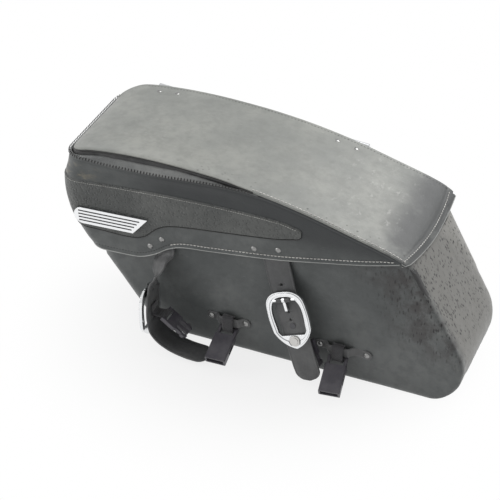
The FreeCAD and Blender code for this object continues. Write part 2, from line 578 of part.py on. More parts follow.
def plug(name):
    """The male half of a release clip: base with a webbing bar, guide tongue and two springy arms."""
    at, across, way = PLUGS[name]
    bar = Part.makeCylinder(BAR_R, 24, V(-12, 0, 0), V(1, 0, 0))
    base = box(-PLUG_W / 2, PLUG_W / 2, -3, 3, 3, 3 + PLUG_BASE)
    base = base.fuse(box(-PLUG_W / 2, -10.2, -3, 3, -3, 4)).fuse(box(10.2, PLUG_W / 2, -3, 3, -3, 4))
    base = base.cut(box(-9.8, 9.8, -5, 5, -4, 6)).fuse(bar)
    guide_end = 3 + PLUG_BASE + ARM_LONG - 5
    base = base.fuse(box(-3, 3, -2, 2, 3 + PLUG_BASE - 1, guide_end))
    root_z = 3 + PLUG_BASE
    root_r = 1.6
    for sign in (-1, 1):
        seat = box(sign * 9.6 - 2.6, sign * 9.6 + 2.6, -3, 3, root_z - 1, root_z + 1.6)
        root_hole = Part.makeCylinder(root_r + RUN_CLEAR, 8, V(sign * 9.6, -4, root_z + 2.2), V(0, 1, 0))
        base = base.fuse(seat).cut(root_hole)
    keep(f"plug_{name}", place(base.removeSplitter(), at, across, way))
    for side_name, sign in (("near", 1), ("far", -1)):
        root = Part.makeCylinder(root_r, 5.2, V(sign * 9.6, -2.6, root_z + 2.2), V(0, 1, 0))
        beam = box(8.0, 11.2, -2.6, 2.6, root_z + 2.2, root_z + 17)
        tip_z = root_z + ARM_LONG - 4
        hook = Part.makePolygon([V(8, -2.6, root_z + 12), V(13.2, -2.6, root_z + 12),
                                 V(12.6, -2.6, root_z + 17), V(8.5, -2.6, tip_z), V(7.2, -2.6, tip_z),
                                 V(8, -2.6, root_z + 12)])
        hook = Part.Face(hook).extrude(V(0, 5.2, 0))
        arm = beam.fuse(hook)
        if sign < 0:
            arm = arm.mirror(V(0, 0, 0), V(1, 0, 0))
        arm = arm.fuse(root).removeSplitter()
        keep(f"plug_{name}_arm_{side_name}", place(arm, at, across, way))


def webbing(name):
    """The short webbing that holds a plug: a band round its bar and a tail to the strap's inner face."""
    at, across, way = PLUGS[name]
    centre, _, down, out = BUCKLES[name]
    eye = place(Part.makeCylinder(BAR_R + 1.7, 18, V(-9, 0, 0), V(1, 0, 0)), at, across, way)
    inner_gap = (centre - at).dot(out) - STRAP_T / 2 - 0.7
    foot = at + out * inner_gap
    tail = ribbon([(at + out * 1.0, across), (foot, across)], 18, 1.4)
    seat = foot - out * 0.75
    slide = ribbon([(seat - down * 16, across), (seat + down * 1.2, across)], 18, 1.5)
    hole = place(Part.makeCylinder(BAR_R + 0.15, 30, V(-15, 0, 0), V(1, 0, 0)), at, across, way)
    keep(f"plug_{name}_webbing", eye.fuse(tail).fuse(slide).cut(hole).removeSplitter())


for name in ("front", "rear"):
    fittings(name)
    keep(f"strap_{name}", punched(name, ribbon(STRAP_PATHS[name], STRAP_W, STRAP_T)))
    plug(name)
    webbing(name)
    centre, way = STRAP_AXES[name]
    w = V(way).normalize()
    up = OUT.cross(w).normalize()
    if up.z < 0:
        up = up * -1
    root = ribbon([(centre + up * 2.1, w), (centre + up * 36.0, w)], STRAP_W, STRAP_T)
    root = root.cut(shanks(strap_heads[name], IN, 12))
    keep(f"strap_{name}_root", root)
    length = root_back_y - LID_FACE_Y
    keep(f"strap_{name}_rivets", Part.makeCompound([rivet(p, IN, length, 4.2, 1.8, 3.4, 0.8)
                                                    for p in strap_heads[name]]))

# ---------------------------------------------------------------- anchors and release sockets
SOCKET_W = 30.0
SOCKET_T = 12.0
SOCKET_LONG = 55.0
CAVITY = (24.4, 7.6, 35.0)
LOOP_W = 16.5
LOOP_T = 1.3
LOOP_GAP = 7.0


def racetrack(y, z0, z1, half_width, x0, x1):
    """A closed upright loop shape, round at its ends, from x0 to x1."""
    ends = [Part.makeCylinder(half_width, x1 - x0, V(x0, y, z), V(1, 0, 0)) for z in (z0, z1)]
    return ends[0].fuse(ends[1]).fuse(box(x0, x1, y - half_width, y + half_width, z0, z1)).removeSplitter()


for name, spec in ANCHORS.items():
    left, right = spec["rivets"]
    mid = spec["socket_x"]
    y0 = outer_face
    high = LOOP_Y - ANCHOR_T / 2
    inner = [(left - 7, y0), (mid - BRIDGE_HALF - RAMP, y0), (mid - BRIDGE_HALF, high + ANCHOR_T),
             (mid + BRIDGE_HALF, high + ANCHOR_T), (mid + BRIDGE_HALF + RAMP, y0), (right + 7, y0)]
    outer = [(right + 7, y0 - ANCHOR_T), (mid + BRIDGE_HALF + RAMP + 1.2, y0 - ANCHOR_T),
             (mid + BRIDGE_HALF + 1, high), (mid - BRIDGE_HALF - 1, high),
             (mid - BRIDGE_HALF - RAMP - 1.2, y0 - ANCHOR_T), (left - 7, y0 - ANCHOR_T)]
    ring = [V(x, y, ANCHOR_Z - ANCHOR_H / 2) for x, y in inner + outer]
    strip = Part.Face(Part.makePolygon(ring + ring[:1])).extrude(UP * ANCHOR_H)
    heads = [V(x, outer_face - ANCHOR_T, ANCHOR_Z) for x in (left, right)]
    keep(f"anchor_{name}", strip.cut(shanks(heads, IN, 6)))
    rivets = [rivet(p, IN, ANCHOR_T + WALL, 4.2, 1.8) for p in heads]
    keep(f"anchor_{name}_rivets", Part.makeCompound(rivets))
    loop_top = ANCHOR_Z + ANCHOR_H / 2 + 1.5
    loop = racetrack(LOOP_Y, BAR_Z, loop_top - 2, LOOP_GAP / 2 + LOOP_T, mid - LOOP_W / 2, mid + LOOP_W / 2)
    loop = loop.cut(racetrack(LOOP_Y, BAR_Z, loop_top - 2, LOOP_GAP / 2, mid - 30, mid + 30))
    keep(f"socket_{name}_webbing", loop)
    body = box(-SOCKET_W / 2, SOCKET_W / 2, -SOCKET_T / 2, SOCKET_T / 2, 12, SOCKET_LONG)
    body = body.makeFillet(2.0, [e for e in body.Edges if abs(e.tangentAt(e.FirstParameter).z) > 0.9])
    w, t, deep = CAVITY
    body = body.cut(box(-w / 2, w / 2, -t / 2, t / 2, SOCKET_LONG - deep, SOCKET_LONG + 1))
    body = body.cut(box(-SOCKET_W, SOCKET_W, -3.0, 3.0, 24, 39))
    ear = box(9.8, 13.6, -3, 3, -3, 13)
    body = body.fuse(ear).fuse(ear.mirror(V(0, 0, 0), V(1, 0, 0)))
    body = body.fuse(Part.makeCylinder(BAR_R, 22, V(-11, 0, 0), V(1, 0, 0))).removeSplitter()
    yaw, drop = math.radians(spec["yaw"]), math.radians(spec["drop"])
    way = V(math.sin(yaw) * math.cos(drop), -math.cos(yaw) * math.cos(drop), -math.sin(drop))
    across = V(math.cos(yaw), math.sin(yaw), 0)
    keep(f"socket_{name}", place(body, V(mid, LOOP_Y, BAR_Z), across, way))

# ---------------------------------------------------------------- write the sub-parts
os.makedirs("parts", exist_ok=True)
for name, shape in nodes.items():
    solids = shape.Solids
    if not solids or not all(s.isValid() and s.isClosed() for s in solids):
        raise ValueError(f"{name} is not made of closed solids")
    single = solids[0] if len(solids) == 1 else Part.makeCompound(solids)
    single.exportStep(f"parts/{name}.step")
    print(name, len(solids), round(sum(s.Volume for s in solids)))
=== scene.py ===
"""Looks of a left-hand leather motorcycle saddlebag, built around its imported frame.

Metres. X runs from the nose to the rear end, Y from the outboard face to the wheel side, Z up.
"""
import json
import logging
import math
from dataclasses import dataclass, field
from enum import Enum
from typing import Callable, Optional, Sequence, Union

import bpy
import bmesh
from mathutils import Matrix, Vector, noise

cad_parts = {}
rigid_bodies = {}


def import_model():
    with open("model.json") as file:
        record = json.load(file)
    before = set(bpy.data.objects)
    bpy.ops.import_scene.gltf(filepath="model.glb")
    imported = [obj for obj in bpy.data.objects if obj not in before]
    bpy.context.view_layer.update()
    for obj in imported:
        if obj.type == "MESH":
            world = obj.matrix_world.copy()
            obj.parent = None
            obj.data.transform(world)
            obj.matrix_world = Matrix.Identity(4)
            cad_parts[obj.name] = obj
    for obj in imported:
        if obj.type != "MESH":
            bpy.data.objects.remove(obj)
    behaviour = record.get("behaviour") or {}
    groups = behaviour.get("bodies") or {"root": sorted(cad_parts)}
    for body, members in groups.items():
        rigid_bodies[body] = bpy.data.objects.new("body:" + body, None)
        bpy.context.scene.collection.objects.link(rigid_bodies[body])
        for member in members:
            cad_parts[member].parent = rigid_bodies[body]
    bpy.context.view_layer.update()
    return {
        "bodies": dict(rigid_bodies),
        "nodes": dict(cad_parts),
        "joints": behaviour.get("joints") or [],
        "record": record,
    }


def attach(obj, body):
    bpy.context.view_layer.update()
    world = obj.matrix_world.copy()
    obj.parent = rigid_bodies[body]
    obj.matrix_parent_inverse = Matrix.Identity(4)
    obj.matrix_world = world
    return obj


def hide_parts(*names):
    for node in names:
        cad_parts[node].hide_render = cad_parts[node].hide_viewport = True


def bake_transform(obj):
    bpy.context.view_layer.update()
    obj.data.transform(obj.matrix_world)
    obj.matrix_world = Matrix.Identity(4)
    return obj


LOG = logging.getLogger("saddlebag")
MM = 0.001
NUDGE = 1e-6
REAR_LEAN = 0.559
GOLDEN_ANGLE = 2.399
WOBBLE = 0.10
OUTBOARD = Vector((0, -1, 0))

Number = Union[int, float]
Line = Sequence[tuple[float, float]]
RGB = tuple[float, float, float]
Spot = tuple[Vector, Vector]
Relief = Callable[[Vector], float]


# ------------------------------------------------------------------ shader kit
def arithmetic(operation: str, swap: bool = False) -> Callable[["Sock", Union["Sock", Number]], "Sock"]:
    """Make a method that joins two values with one Math node.

    Args:
        operation: The node's operation.
        swap: Whether the other value comes first.

    Returns:
        The method.
    """
    def method(self: "Sock", other: Union["Sock", Number]) -> "Sock":
        """The node's result."""
        pair = (other, self) if swap else (self, other)
        return self.paint.node("ShaderNodeMath", {"operation": operation}, {0: pair[0], 1: pair[1]})

    return method


@dataclass(frozen=True)
class Sock:
    """A material's output socket that takes part in Python arithmetic."""

    paint: "Paint"
    socket: bpy.types.NodeSocket

    __add__ = __radd__ = arithmetic("ADD")
    __sub__ = arithmetic("SUBTRACT")
    __rsub__ = arithmetic("SUBTRACT", swap=True)
    __mul__ = __rmul__ = arithmetic("MULTIPLY")
    at_most = arithmetic("MINIMUM")

    def ramp(self, low: float, high: float) -> "Sock":
        """Map low..high to 0..1, clamped and eased."""
        return self.paint.node("ShaderNodeMapRange", {"interpolation_type": "SMOOTHSTEP"},
                               {"Value": self, "From Min": low, "From Max": high})


Value = Union[Sock, Number, tuple]


class Paint:
    """One material and its nodes."""

    def __init__(self, name: str) -> None:
        """Start an empty material with one principled shader."""
        self.material = bpy.data.materials.new(name)
        self.material.use_nodes = True
        self.tree = self.material.node_tree
        self.tree.nodes.clear()
        self.shader = self.tree.nodes.new("ShaderNodeBsdfPrincipled")
        self.surface = self.tree.nodes.new("ShaderNodeOutputMaterial").inputs["Surface"]
        self.tree.links.new(self.shader.outputs[0], self.surface)
        self.place = self.node("ShaderNodeTexCoord", {}, {}, "Object")

    def feed(self, socket: bpy.types.NodeSocket, value: Value) -> None:
        """Link a wrapped socket to an input, or set the input to a value."""
        if isinstance(value, Sock):
            self.tree.links.new(value.socket, socket)
        elif isinstance(value, tuple) and socket.type == "RGBA" and len(value) == 3:
            socket.default_value = (*value, 1.0)
        else:
            socket.default_value = value

    def node(self, kind: str, settings: dict, inputs: dict, out: Union[int, str] = 0) -> Sock:
        """Add any node.

        Args:
            kind: The node's type.
            settings: Its own settings, set first.
            inputs: Values or links by socket name or number.
            out: Which output to return.

        Returns:
            The output, wrapped.
        """
        made = self.tree.nodes.new(kind)
        for key, value in settings.items():
            setattr(made, key, value)
        for key, value in inputs.items():
            self.feed(made.inputs[key], value)
        return Sock(self, made.outputs[out])

    def noise(self, scale: float, detail: float = 4.0, rough: float = 0.55, at: Optional[Sock] = None) -> Sock:
        """Cloudy noise, 0 to 1, around 0.5.

        Args:
            scale: Repeats per metre.
            detail: Octaves.
            rough: Strength of the fine octaves.
            at: Where it is read, the object's own place when left out.

        Returns:
            The noise.
        """
        return self.node("ShaderNodeTexNoise", {}, {"Vector": at or self.place, "Scale": scale, "Detail": detail,
                                                    "Roughness": rough})

    def cells(self, scale: float, at: Optional[Sock] = None) -> Sock:
        """Distance from the middle of a cell, with this many cells per metre."""
        return self.node("ShaderNodeTexVoronoi", {"feature": "F1"}, {"Vector": at or self.place, "Scale": scale},
                         "Distance")

    def rounded(self, radius: float) -> Sock:
        """A normal that rounds sharp edges off."""
        return self.node("ShaderNodeBevel", {"samples": 4}, {"Radius": radius}, "Normal")

    def stretched(self, scale: tuple[float, float, float], turn: tuple[float, float, float] = (0, 0, 0)) -> Sock:
        """The object's place, turned and scaled by axis."""
        return self.node("ShaderNodeMapping", {}, {"Vector": self.place, "Scale": scale, "Rotation": turn})

    def axis(self, name: str) -> Sock:
        """One coordinate of the object's place."""
        return self.node("ShaderNodeSeparateXYZ", {}, {"Vector": self.place}, name)

    def blend(self, factor: Value, first: Value, second: Value) -> Sock:
        """Mix two colours; a factor of 0 gives the first, 1 the second."""
        made = self.tree.nodes.new("ShaderNodeMix")
        made.data_type = "RGBA"
        for socket, value in ((made.inputs[0], factor), (made.inputs[6], first), (made.inputs[7], second)):
            self.feed(socket, value)
        return Sock(self, made.outputs[2])

    def bump(self, height: Sock, strength: float, distance: float, under: Optional[Sock] = None) -> Sock:
        """Turn a height into a normal.

        Args:
            height: The height, 0 to 1.
            strength: How strongly it shows.
            distance: Its depth in metres.
            under: A normal that it is laid over.

        Returns:
            The normal.
        """
        inputs = {"Height": height, "Strength": strength, "Distance": distance}
        if under:
            inputs["Normal"] = under
        return self.node("ShaderNodeBump", {}, inputs)

    def set(self, **values: Value) -> "Paint":
        """Set or link shader inputs; underscores in names stand for spaces."""
        for key, value in values.items():
            self.feed(self.shader.inputs[key.replace("_", " ")], value)
        return self


# ------------------------------------------------------------------ finishes
@dataclass(frozen=True)
class Leather:
    """Worn black leather with a fine grain, dry lighter patches and a soft shine."""

    name: str
    dark: RGB
    light: RGB
    gloss: float = 0.40
    grain: float = 0.35
    pores: float = 620.0
    pebble: float = 0.0
    pebbles: float = 230.0

    def paint(self) -> Paint:
        """Build the finish."""
        made = Paint(self.name)
        clouds, mottle = made.noise(9, 5, 0.6), made.noise(70, 4, 0.6)
        colour = made.blend(clouds.ramp(0.36, 0.66), self.dark, self.light)
        colour = made.blend(mottle.ramp(0.35, 0.75) * 0.45, colour, tuple(c * 0.72 for c in self.dark))
        colour = self.wear(made, colour)
        pores = made.cells(self.pores)
        wrinkles = made.noise(150, 5, 0.6, at=made.stretched((1.0, 1.0, 2.2), (0.0, 0.5, 0.2)))
        dents = made.noise(26, 3, 0.5)
        under = made.bump(dents, 0.5, 0.0022)
        under = made.bump(wrinkles, self.grain, 0.0006, under)
        if self.pebble:
            under = made.bump(made.cells(self.pebbles).ramp(0.05, 0.55), self.pebble, 0.0009, under)
        normal = made.bump(pores.ramp(0.1, 0.6), self.grain, 0.00025, under)
        rough = mottle * 0.16 + (self.gloss - 0.08) + pores * 0.05
        made.set(Base_Color=colour, Roughness=rough, Normal=normal, Specular_IOR_Level=0.45,
                 Sheen_Weight=0.12, Sheen_Roughness=0.45)
        return made

    def wear(self, made: Paint, colour: Sock) -> Sock:
        """Lay the marks of use over the material's colour so far."""
        scratch = made.noise(420, 3, 0.5, at=made.stretched((0.25, 1.0, 1.4), (0.2, 0.5, 0.1)))
        return made.blend(scratch.ramp(0.66, 0.8) * 0.25, colour, tuple(min(1.0, c * 1.9) for c in self.light))


class BodyLeather(Leather):
    """Body leather, pitted and browned on both sides of the rear corner, lighter over the rear face, with a painted
    highlight along the rear face's rounded wheel-side edge.
    """

    def wear(self, made: Paint, colour: Sock) -> Sock:
        """Add pits and brown rub near the rear corner, a lighter rear face and a painted highlight strip along the
        rear face's rounded wheel-side edge.
        """
        colour = super().wear(made, colour)
        along = made.axis("X") + made.axis("Z") * REAR_LEAN
        height = made.axis("Z")
        near = along.ramp(0.165, 0.262) * height.ramp(0.05, 0.11)
        cloud = made.noise(48, 4, 0.65)
        rear_face = (made.axis("Y") + cloud * 0.016).ramp(-0.083, -0.060)
        rear_side = (along + cloud * 0.012).ramp(0.262, 0.282)
        # The rear face is made lighter grey.
        rear_toned = made.blend(rear_face * rear_side * 0.8, colour, (0.205, 0.20, 0.185))
        # Painted highlight: a lighter strip over the raised, rounded wheel-side edge of the rear face.
        strip = (made.axis("Y") + height * 0.62).ramp(0.135, 0.150) * rear_side * height.ramp(0.06, 0.10)
        rear_toned = made.blend(strip * 0.5, rear_toned, (0.30, 0.295, 0.275))
        brown = made.noise(38, 5, 0.65).ramp(0.42, 0.62) * near * (1 - rear_face)
        rear_toned = made.blend(brown * 0.75, rear_toned, (0.030, 0.024, 0.024))
        drawn = made.stretched((1.5, 1.5, 0.55), (0.0, 0.35, 0.0))
        streaks = made.noise(120, 5, 0.7, at=drawn)
        pits = (1 - made.cells(150, at=drawn).ramp(0.16, 0.36)) * made.noise(55, 3, 0.6).ramp(0.36, 0.47)
        marks = (pits + streaks.ramp(0.55, 0.66) * 0.7).at_most(1.0) * near
        return made.blend(marks * 0.95, rear_toned, (0.010, 0.009, 0.010))


class TopLeather(Leather):
    """Top leather: light grey, partly dust and partly painted sheen of the overhead light on black leather, with dark
    specks along the outboard edge and pale scuffs to the rear.
    """

    def wear(self, made: Paint, colour: Sock) -> Sock:
        """Add specks, scuffs and painted shade on the rear end."""
        colour = super().wear(made, colour)
        x, y = made.axis("X"), made.axis("Y")
        hem = (1 - y.ramp(-0.094, -0.070)) * x.ramp(-0.28, -0.02)
        specks = (1 - made.cells(120).ramp(0.10, 0.26)) * made.noise(40, 3, 0.6).ramp(0.46, 0.54)
        colour = made.blend((specks * hem).at_most(1.0) * 0.85, colour, (0.03, 0.03, 0.03))
        # Painted shade: the rear end of the top, where it bends down, is darkened.
        rear_shade = x.ramp(0.088, 0.135) * made.noise(16, 4, 0.6).ramp(0.22, 0.5)
        colour = made.blend(rear_shade * 0.92, colour, (0.052, 0.055, 0.057))
        smear = made.noise(85, 6, 0.7, at=made.stretched((1.0, 0.55, 1.0), (0, 0, 0.7)))
        worn = smear.ramp(0.56, 0.70) * x.ramp(-0.02, 0.07) * (1 - x.ramp(0.10, 0.15)) * y.ramp(-0.085, -0.04)
        return made.blend(worn * 0.55, colour, (0.42, 0.42, 0.40))


class SideLeather(Leather):
    """Leather of the lid's side: painted shade below the corner seam, scuffed tan at the nose."""

    def wear(self, made: Paint, colour: Sock) -> Sock:
        """Add the tan scuffs at the nose and painted shade in the hollow behind it."""
        colour = super().wear(made, colour)
        x, z = made.axis("X"), made.axis("Z")
        # Painted shade: the upper side leather, in the hollow under the corner band and top panel, is darkened.
        hollow = z.ramp(0.205, 0.235) * x.ramp(-0.29, -0.18)
        colour = made.blend(hollow * 0.9, colour, (0.021, 0.024, 0.026))
        nose = (1 - x.ramp(-0.325, -0.275)) * z.ramp(0.228, 0.24) * (1 - z.ramp(0.252, 0.262))
        rub = made.noise(75, 6, 0.7, at=made.stretched((0.6, 0.6, 1.4))).ramp(0.47, 0.64)
        return made.blend(rub * nose * (1 - made.axis("Y").ramp(-0.07, 0.02)) * 0.8, colour, (0.21, 0.185, 0.135))


@dataclass(frozen=True)
class Thread:
    """Twisted sewing thread."""

    name: str
    tone: RGB
    soiled: RGB

    def paint(self) -> Paint:
        """Build the finish."""
        made = Paint(self.name)
        twist = made.noise(1500, 2, 0.5, at=made.stretched((1.0, 1.0, 2.5), (0.4, 0.6, 0.3)))
        colour = made.blend(made.noise(60, 4, 0.6).ramp(0.35, 0.65), self.tone, self.soiled)
        made.set(Base_Color=colour, Roughness=0.75, Normal=made.bump(twist, 0.5, 0.0003), Sheen_Weight=0.2)
        return made


@dataclass(frozen=True)
class Metal:
    """Plated metal with fine scratches and painted shade in its crevices."""

    name: str
    tone: RGB
    crevice_shade: RGB
    rough: float
    hollow: float = 0.004

    def paint(self) -> Paint:
        """Build the finish."""
        made = Paint(self.name)
        # Painted shade: ambient occlusion within the hollow distance darkens the colour in crevices.
        shut = made.node("ShaderNodeAmbientOcclusion", {"samples": 8}, {"Distance": self.hollow}, "AO")
        colour = made.blend(shut.ramp(0.25, 0.85), self.crevice_shade, self.tone)
        haze = made.noise(90, 5, 0.6)
        scratch = made.noise(900, 2, 0.5, at=made.stretched((0.15, 1.0, 1.0), (0.3, 0.5, 0.2)))
        rough = haze * 0.10 + (self.rough - 0.03) + scratch.ramp(0.6, 0.8) * 0.08
        soft = made.rounded(0.0006)
        made.set(Base_Color=colour, Metallic=1.0, Roughness=rough, Normal=made.bump(haze, 0.06, 0.0004, soft))
        return made


class BadgeMetal(Metal):
    """Polished badge with dark enamel at the bottom of its grooves."""

    def paint(self) -> Paint:
        """Build the finish."""
        made = super().paint()
        deep = made.axis("Y").ramp(-0.1028, -0.1022)
        colour = made.blend(deep, self.tone, (0.10, 0.10, 0.105))
        made.set(Base_Color=colour, Metallic=1 - deep * 0.7)
        return made


@dataclass(frozen=True)
class Moulded:
    """Moulded plastic or rubber with a fine spark-eroded texture."""

    name: str
    tone: RGB
    worn: RGB
    rough: float = 0.45
    texture: float = 0.25
    fine: float = 1100.0

    def paint(self) -> Paint:
        """Build the finish."""
        made = Paint(self.name)
        colour = made.blend(made.noise(45, 5, 0.6).ramp(0.35, 0.7), self.tone, self.worn)
        soft = made.rounded(0.0007)
        normal = made.bump(made.noise(self.fine, 3, 0.6), self.texture, 0.0002, soft)
        rough = made.noise(120, 3, 0.5) * 0.15 + (self.rough - 0.07)
        made.set(Base_Color=colour, Roughness=rough, Normal=normal, Specular_IOR_Level=0.5)
        return made


@dataclass(frozen=True)
class Woven:
    """Flat woven webbing."""

    name: str
    tone: RGB
    high: RGB

    def paint(self) -> Paint:
        """Build the finish."""
        made = Paint(self.name)
        ribs = made.node("ShaderNodeTexWave", {"wave_type": "BANDS", "bands_direction": "DIAGONAL"},
                         {"Vector": made.place, "Scale": 420.0, "Distortion": 0.6, "Detail": 1.0}, "Fac")
        cross = made.node("ShaderNodeTexWave", {"wave_type": "BANDS", "bands_direction": "Z"},
                          {"Vector": made.place, "Scale": 300.0, "Distortion": 0.5}, "Fac")
        weave = ribs * 0.6 + cross * 0.4
        fuzz = made.noise(900, 3, 0.6)
        colour = made.blend(weave * 0.8 + fuzz * 0.2, self.tone, self.high)
        made.set(Base_Color=colour, Roughness=0.85, Normal=made.bump(weave, 0.7, 0.0005), Sheen_Weight=0.3)
        return made


class Slot(Enum):
    """The record's material slots, passed along with crafted pieces."""

    BODY = "body_leather"
    LID = "lid_leather"
    EMBOSSED = "embossed_leather"
    STRAP = "strap_leather"
    WEBBING = "webbing"
    BOARD = "liner_plastic"


class Finishes:
    """Every finish, built once."""

    def __init__(self) -> None:
        """Build the finishes."""
        # The body leather's slight blue-green tint is painted shade colour.
        self.body = BodyLeather("body_leather_worn", (0.078, 0.085, 0.085), (0.132, 0.139, 0.137), 0.42).paint()
        self.side = SideLeather("lid_side_leather", (0.064, 0.070, 0.070), (0.112, 0.119, 0.117), 0.38).paint()
        # The top leather is much lighter than the side leather: partly dust, partly painted sheen of the overhead
        # light on black leather.
        self.top = TopLeather("lid_top_leather", (0.235, 0.243, 0.228), (0.300, 0.305, 0.282), 0.38, 0.25).paint()
        # Light leather for the thin cords along the lid's lower and rear edges: a painted highlight on those edges.
        self.band = Leather("edge_highlight_leather", (0.30, 0.31, 0.30), (0.44, 0.445, 0.43), 0.26).paint()
        # The rolled corner band's leather is lighter than the side leather: a painted highlight on the roll.
        self.rolled = Leather("rolled_band_leather", (0.13, 0.135, 0.135), (0.24, 0.245, 0.24), 0.24).paint()
        self.embossed = Leather("embossed_leather_worn", (0.062, 0.066, 0.064), (0.112, 0.116, 0.111), 0.44, 0.5,
                                pebble=1.0).paint()
        self.strap = Leather("strap_leather_worn", (0.072, 0.073, 0.075), (0.125, 0.126, 0.126), 0.40, 0.4).paint()
        self.thread = Thread("pale_thread", (0.70, 0.69, 0.66), (0.46, 0.45, 0.43)).paint()
        # Near-black thread, also used for the dark cords that stand for painted shadow under edges.
        self.dark_thread_and_shadow = Thread("dark_thread_and_shadow", (0.010, 0.010, 0.010), (0.030, 0.029, 0.028)).paint()
        self.webbing = Woven("black_webbing", (0.018, 0.018, 0.020), (0.075, 0.073, 0.078)).paint()
        chrome = Metal("bright_chrome_plate", (0.86, 0.87, 0.88), (0.12, 0.12, 0.125), 0.09)
        self.by_slot = {
            "bright_chrome": chrome.paint(),
            "pewter": Metal("antique_pewter", (0.60, 0.59, 0.57), (0.10, 0.10, 0.10), 0.26, 0.003).paint(),
            "plated_steel": Metal("zinc_plate", (0.56, 0.57, 0.58), (0.16, 0.16, 0.16), 0.34).paint(),
            "rivet_nickel": Metal("aged_nickel", (0.30, 0.30, 0.295), (0.05, 0.05, 0.05), 0.30).paint(),
            "clip_plastic": Moulded("clip_plastic_dark", (0.062, 0.058, 0.070), (0.105, 0.100, 0.112), 0.38).paint(),
            "liner_plastic": Moulded("liner_board_black", (0.030, 0.030, 0.031), (0.060, 0.060, 0.060), 0.55, 0.5,
                                     600.0).paint(),
            "grommet_rubber": Moulded("grommet_rubber_black", (0.020, 0.020, 0.020), (0.045, 0.045, 0.045), 0.65,
                                      0.3).paint(),
        }
        # Near-black posts: painted shade, so the posts read as dark open holes.
        self.hole_shade_post = Metal("post_steel_painted_hole_shade", (0.10, 0.10, 0.105), (0.03, 0.03, 0.03), 0.40).paint()
        self.badge = BadgeMetal("badge_chrome", (0.88, 0.89, 0.90), (0.10, 0.10, 0.105), 0.10).paint()


# ------------------------------------------------------------------ form maths, millimetres
def ease(value: float) -> float:
    """Clamp to 0..1 and smooth both ends."""
    value = max(0.0, min(1.0, value))
    return value * value * (3 - 2 * value)


def near(distance: float, width: float) -> float:
    """A soft bell, 1 at distance 0."""
    return math.exp(-(distance / width) ** 2)


def swell(place: Vector, size: float, seed: float = 0.0) -> float:
    """Smooth noise of this feature size, about -1 to 1."""
    return noise.noise(Vector((place.x / size + seed, place.y / size, place.z / size)))


def hermite(t: float) -> tuple[float, float, float, float]:
    """Weights of the start, its slope, the end and its slope at t of 0..1."""
    return (2 * t ** 3 - 3 * t ** 2 + 1, t ** 3 - 2 * t ** 2 + t, 3 * t ** 2 - 2 * t ** 3, t ** 3 - t ** 2)


def pulled(count: int, pull: float) -> list[float]:
    """Steps from 0 to 1 that crowd towards both ends."""
    return [t - pull * math.sin(math.tau * t) for t in (i / count for i in range(count + 1))]


def marks(counts: Sequence[int], start: float, stop: float) -> list[float]:
    """Places along legs that are divided by these counts, from start to stop."""
    found = [leg + i / count for leg, count in enumerate(counts) for i in range(count)] + [float(len(counts))]
    return [u for u in found if start - NUDGE <= u <= stop + NUDGE]


def height_on(points: Line, x: float) -> float:
    """Height at x of the smooth side-view line through (x, z) points with growing x."""
    last = len(points) - 2
    i = max(0, min(last, sum(1 for p in points[1:-1] if p[0] <= x)))
    a, b = points[i], points[i + 1]
    before, after = points[max(i - 1, 0)], points[min(i + 2, last + 1)]
    span = b[0] - a[0]
    slope_a = (b[1] - before[1]) / (b[0] - before[0])
    slope_b = (after[1] - a[1]) / (after[0] - a[0])
    start, leaving, end, arriving = hermite((x - a[0]) / span)
    return start * a[1] + leaving * span * slope_a + end * b[1] + arriving * span * slope_b


TOP_LINE: Line = [(-372, 262), (-336, 276), (-300, 287), (-250, 292.5), (-200, 294), (-150, 292.5), (-100, 289),
                  (-40, 281), (20, 268.5), (80, 252), (125, 239), (150, 229), (166, 217), (178, 203)]
LID_EDGE: Line = [(-372, 124), (-300, 125.5), (-255, 127), (-228, 130), (-206, 140), (-186, 154), (-165, 162.5),
                  (-124, 168), (-26, 182), (37, 195), (96, 208), (130, 217.5), (180, 234)]
SEAM_LINE: Line = [(-372, 258), (-330, 269), (-270, 269.5), (-198, 272), (-140, 276.5), (-90, 279), (-50, 276.5)]
RIM_LINE: Line = [(-400, 158), (-220, 165), (-100, 192), (60, 221), (110, 226), (140, 222.5), (150, 219.6),
                  (156, 216.4), (161, 214), (180, 196)]
OVERLAY_TOP: Line = [(-372, 230), (-306, 235), (-261, 239), (-164, 245), (-81, 247), (-20, 245.5), (2, 241)]
OVERLAY_LOW: Line = [(-372, 158), (-288, 159), (-240, 160), (-220, 167), (-203, 183), (-187, 192), (-160, 198),
                     (-99, 206), (-27, 216), (-1, 222.5)]
SEAM_MERGE_X = -50.0
TOP_THICK = 5.0
SEAM_GAP = 0.25


def top_z(x: float) -> float:
    """Height of the lid's top surface."""
    return height_on(TOP_LINE, x)


def lid_edge_z(x: float) -> float:
    """Height of the lid's lower edge."""
    return height_on(LID_EDGE, x)


def seam_z(x: float) -> float:
    """Height of the seam along the top of the lid's side."""
    if x >= SEAM_MERGE_X:
        return top_z(x) - TOP_THICK - SEAM_GAP
    return height_on(list(SEAM_LINE) + [(0, top_z(0) - TOP_THICK - SEAM_GAP)], x)


def corner(centre: tuple[float, float], radius: float, angle: float) -> tuple[float, float]:
    """A point on a plan-view corner; angle in right angles from +X."""
    return (centre[0] + radius * math.cos(angle * math.pi / 2), centre[1] + radius * math.sin(angle * math.pi / 2))


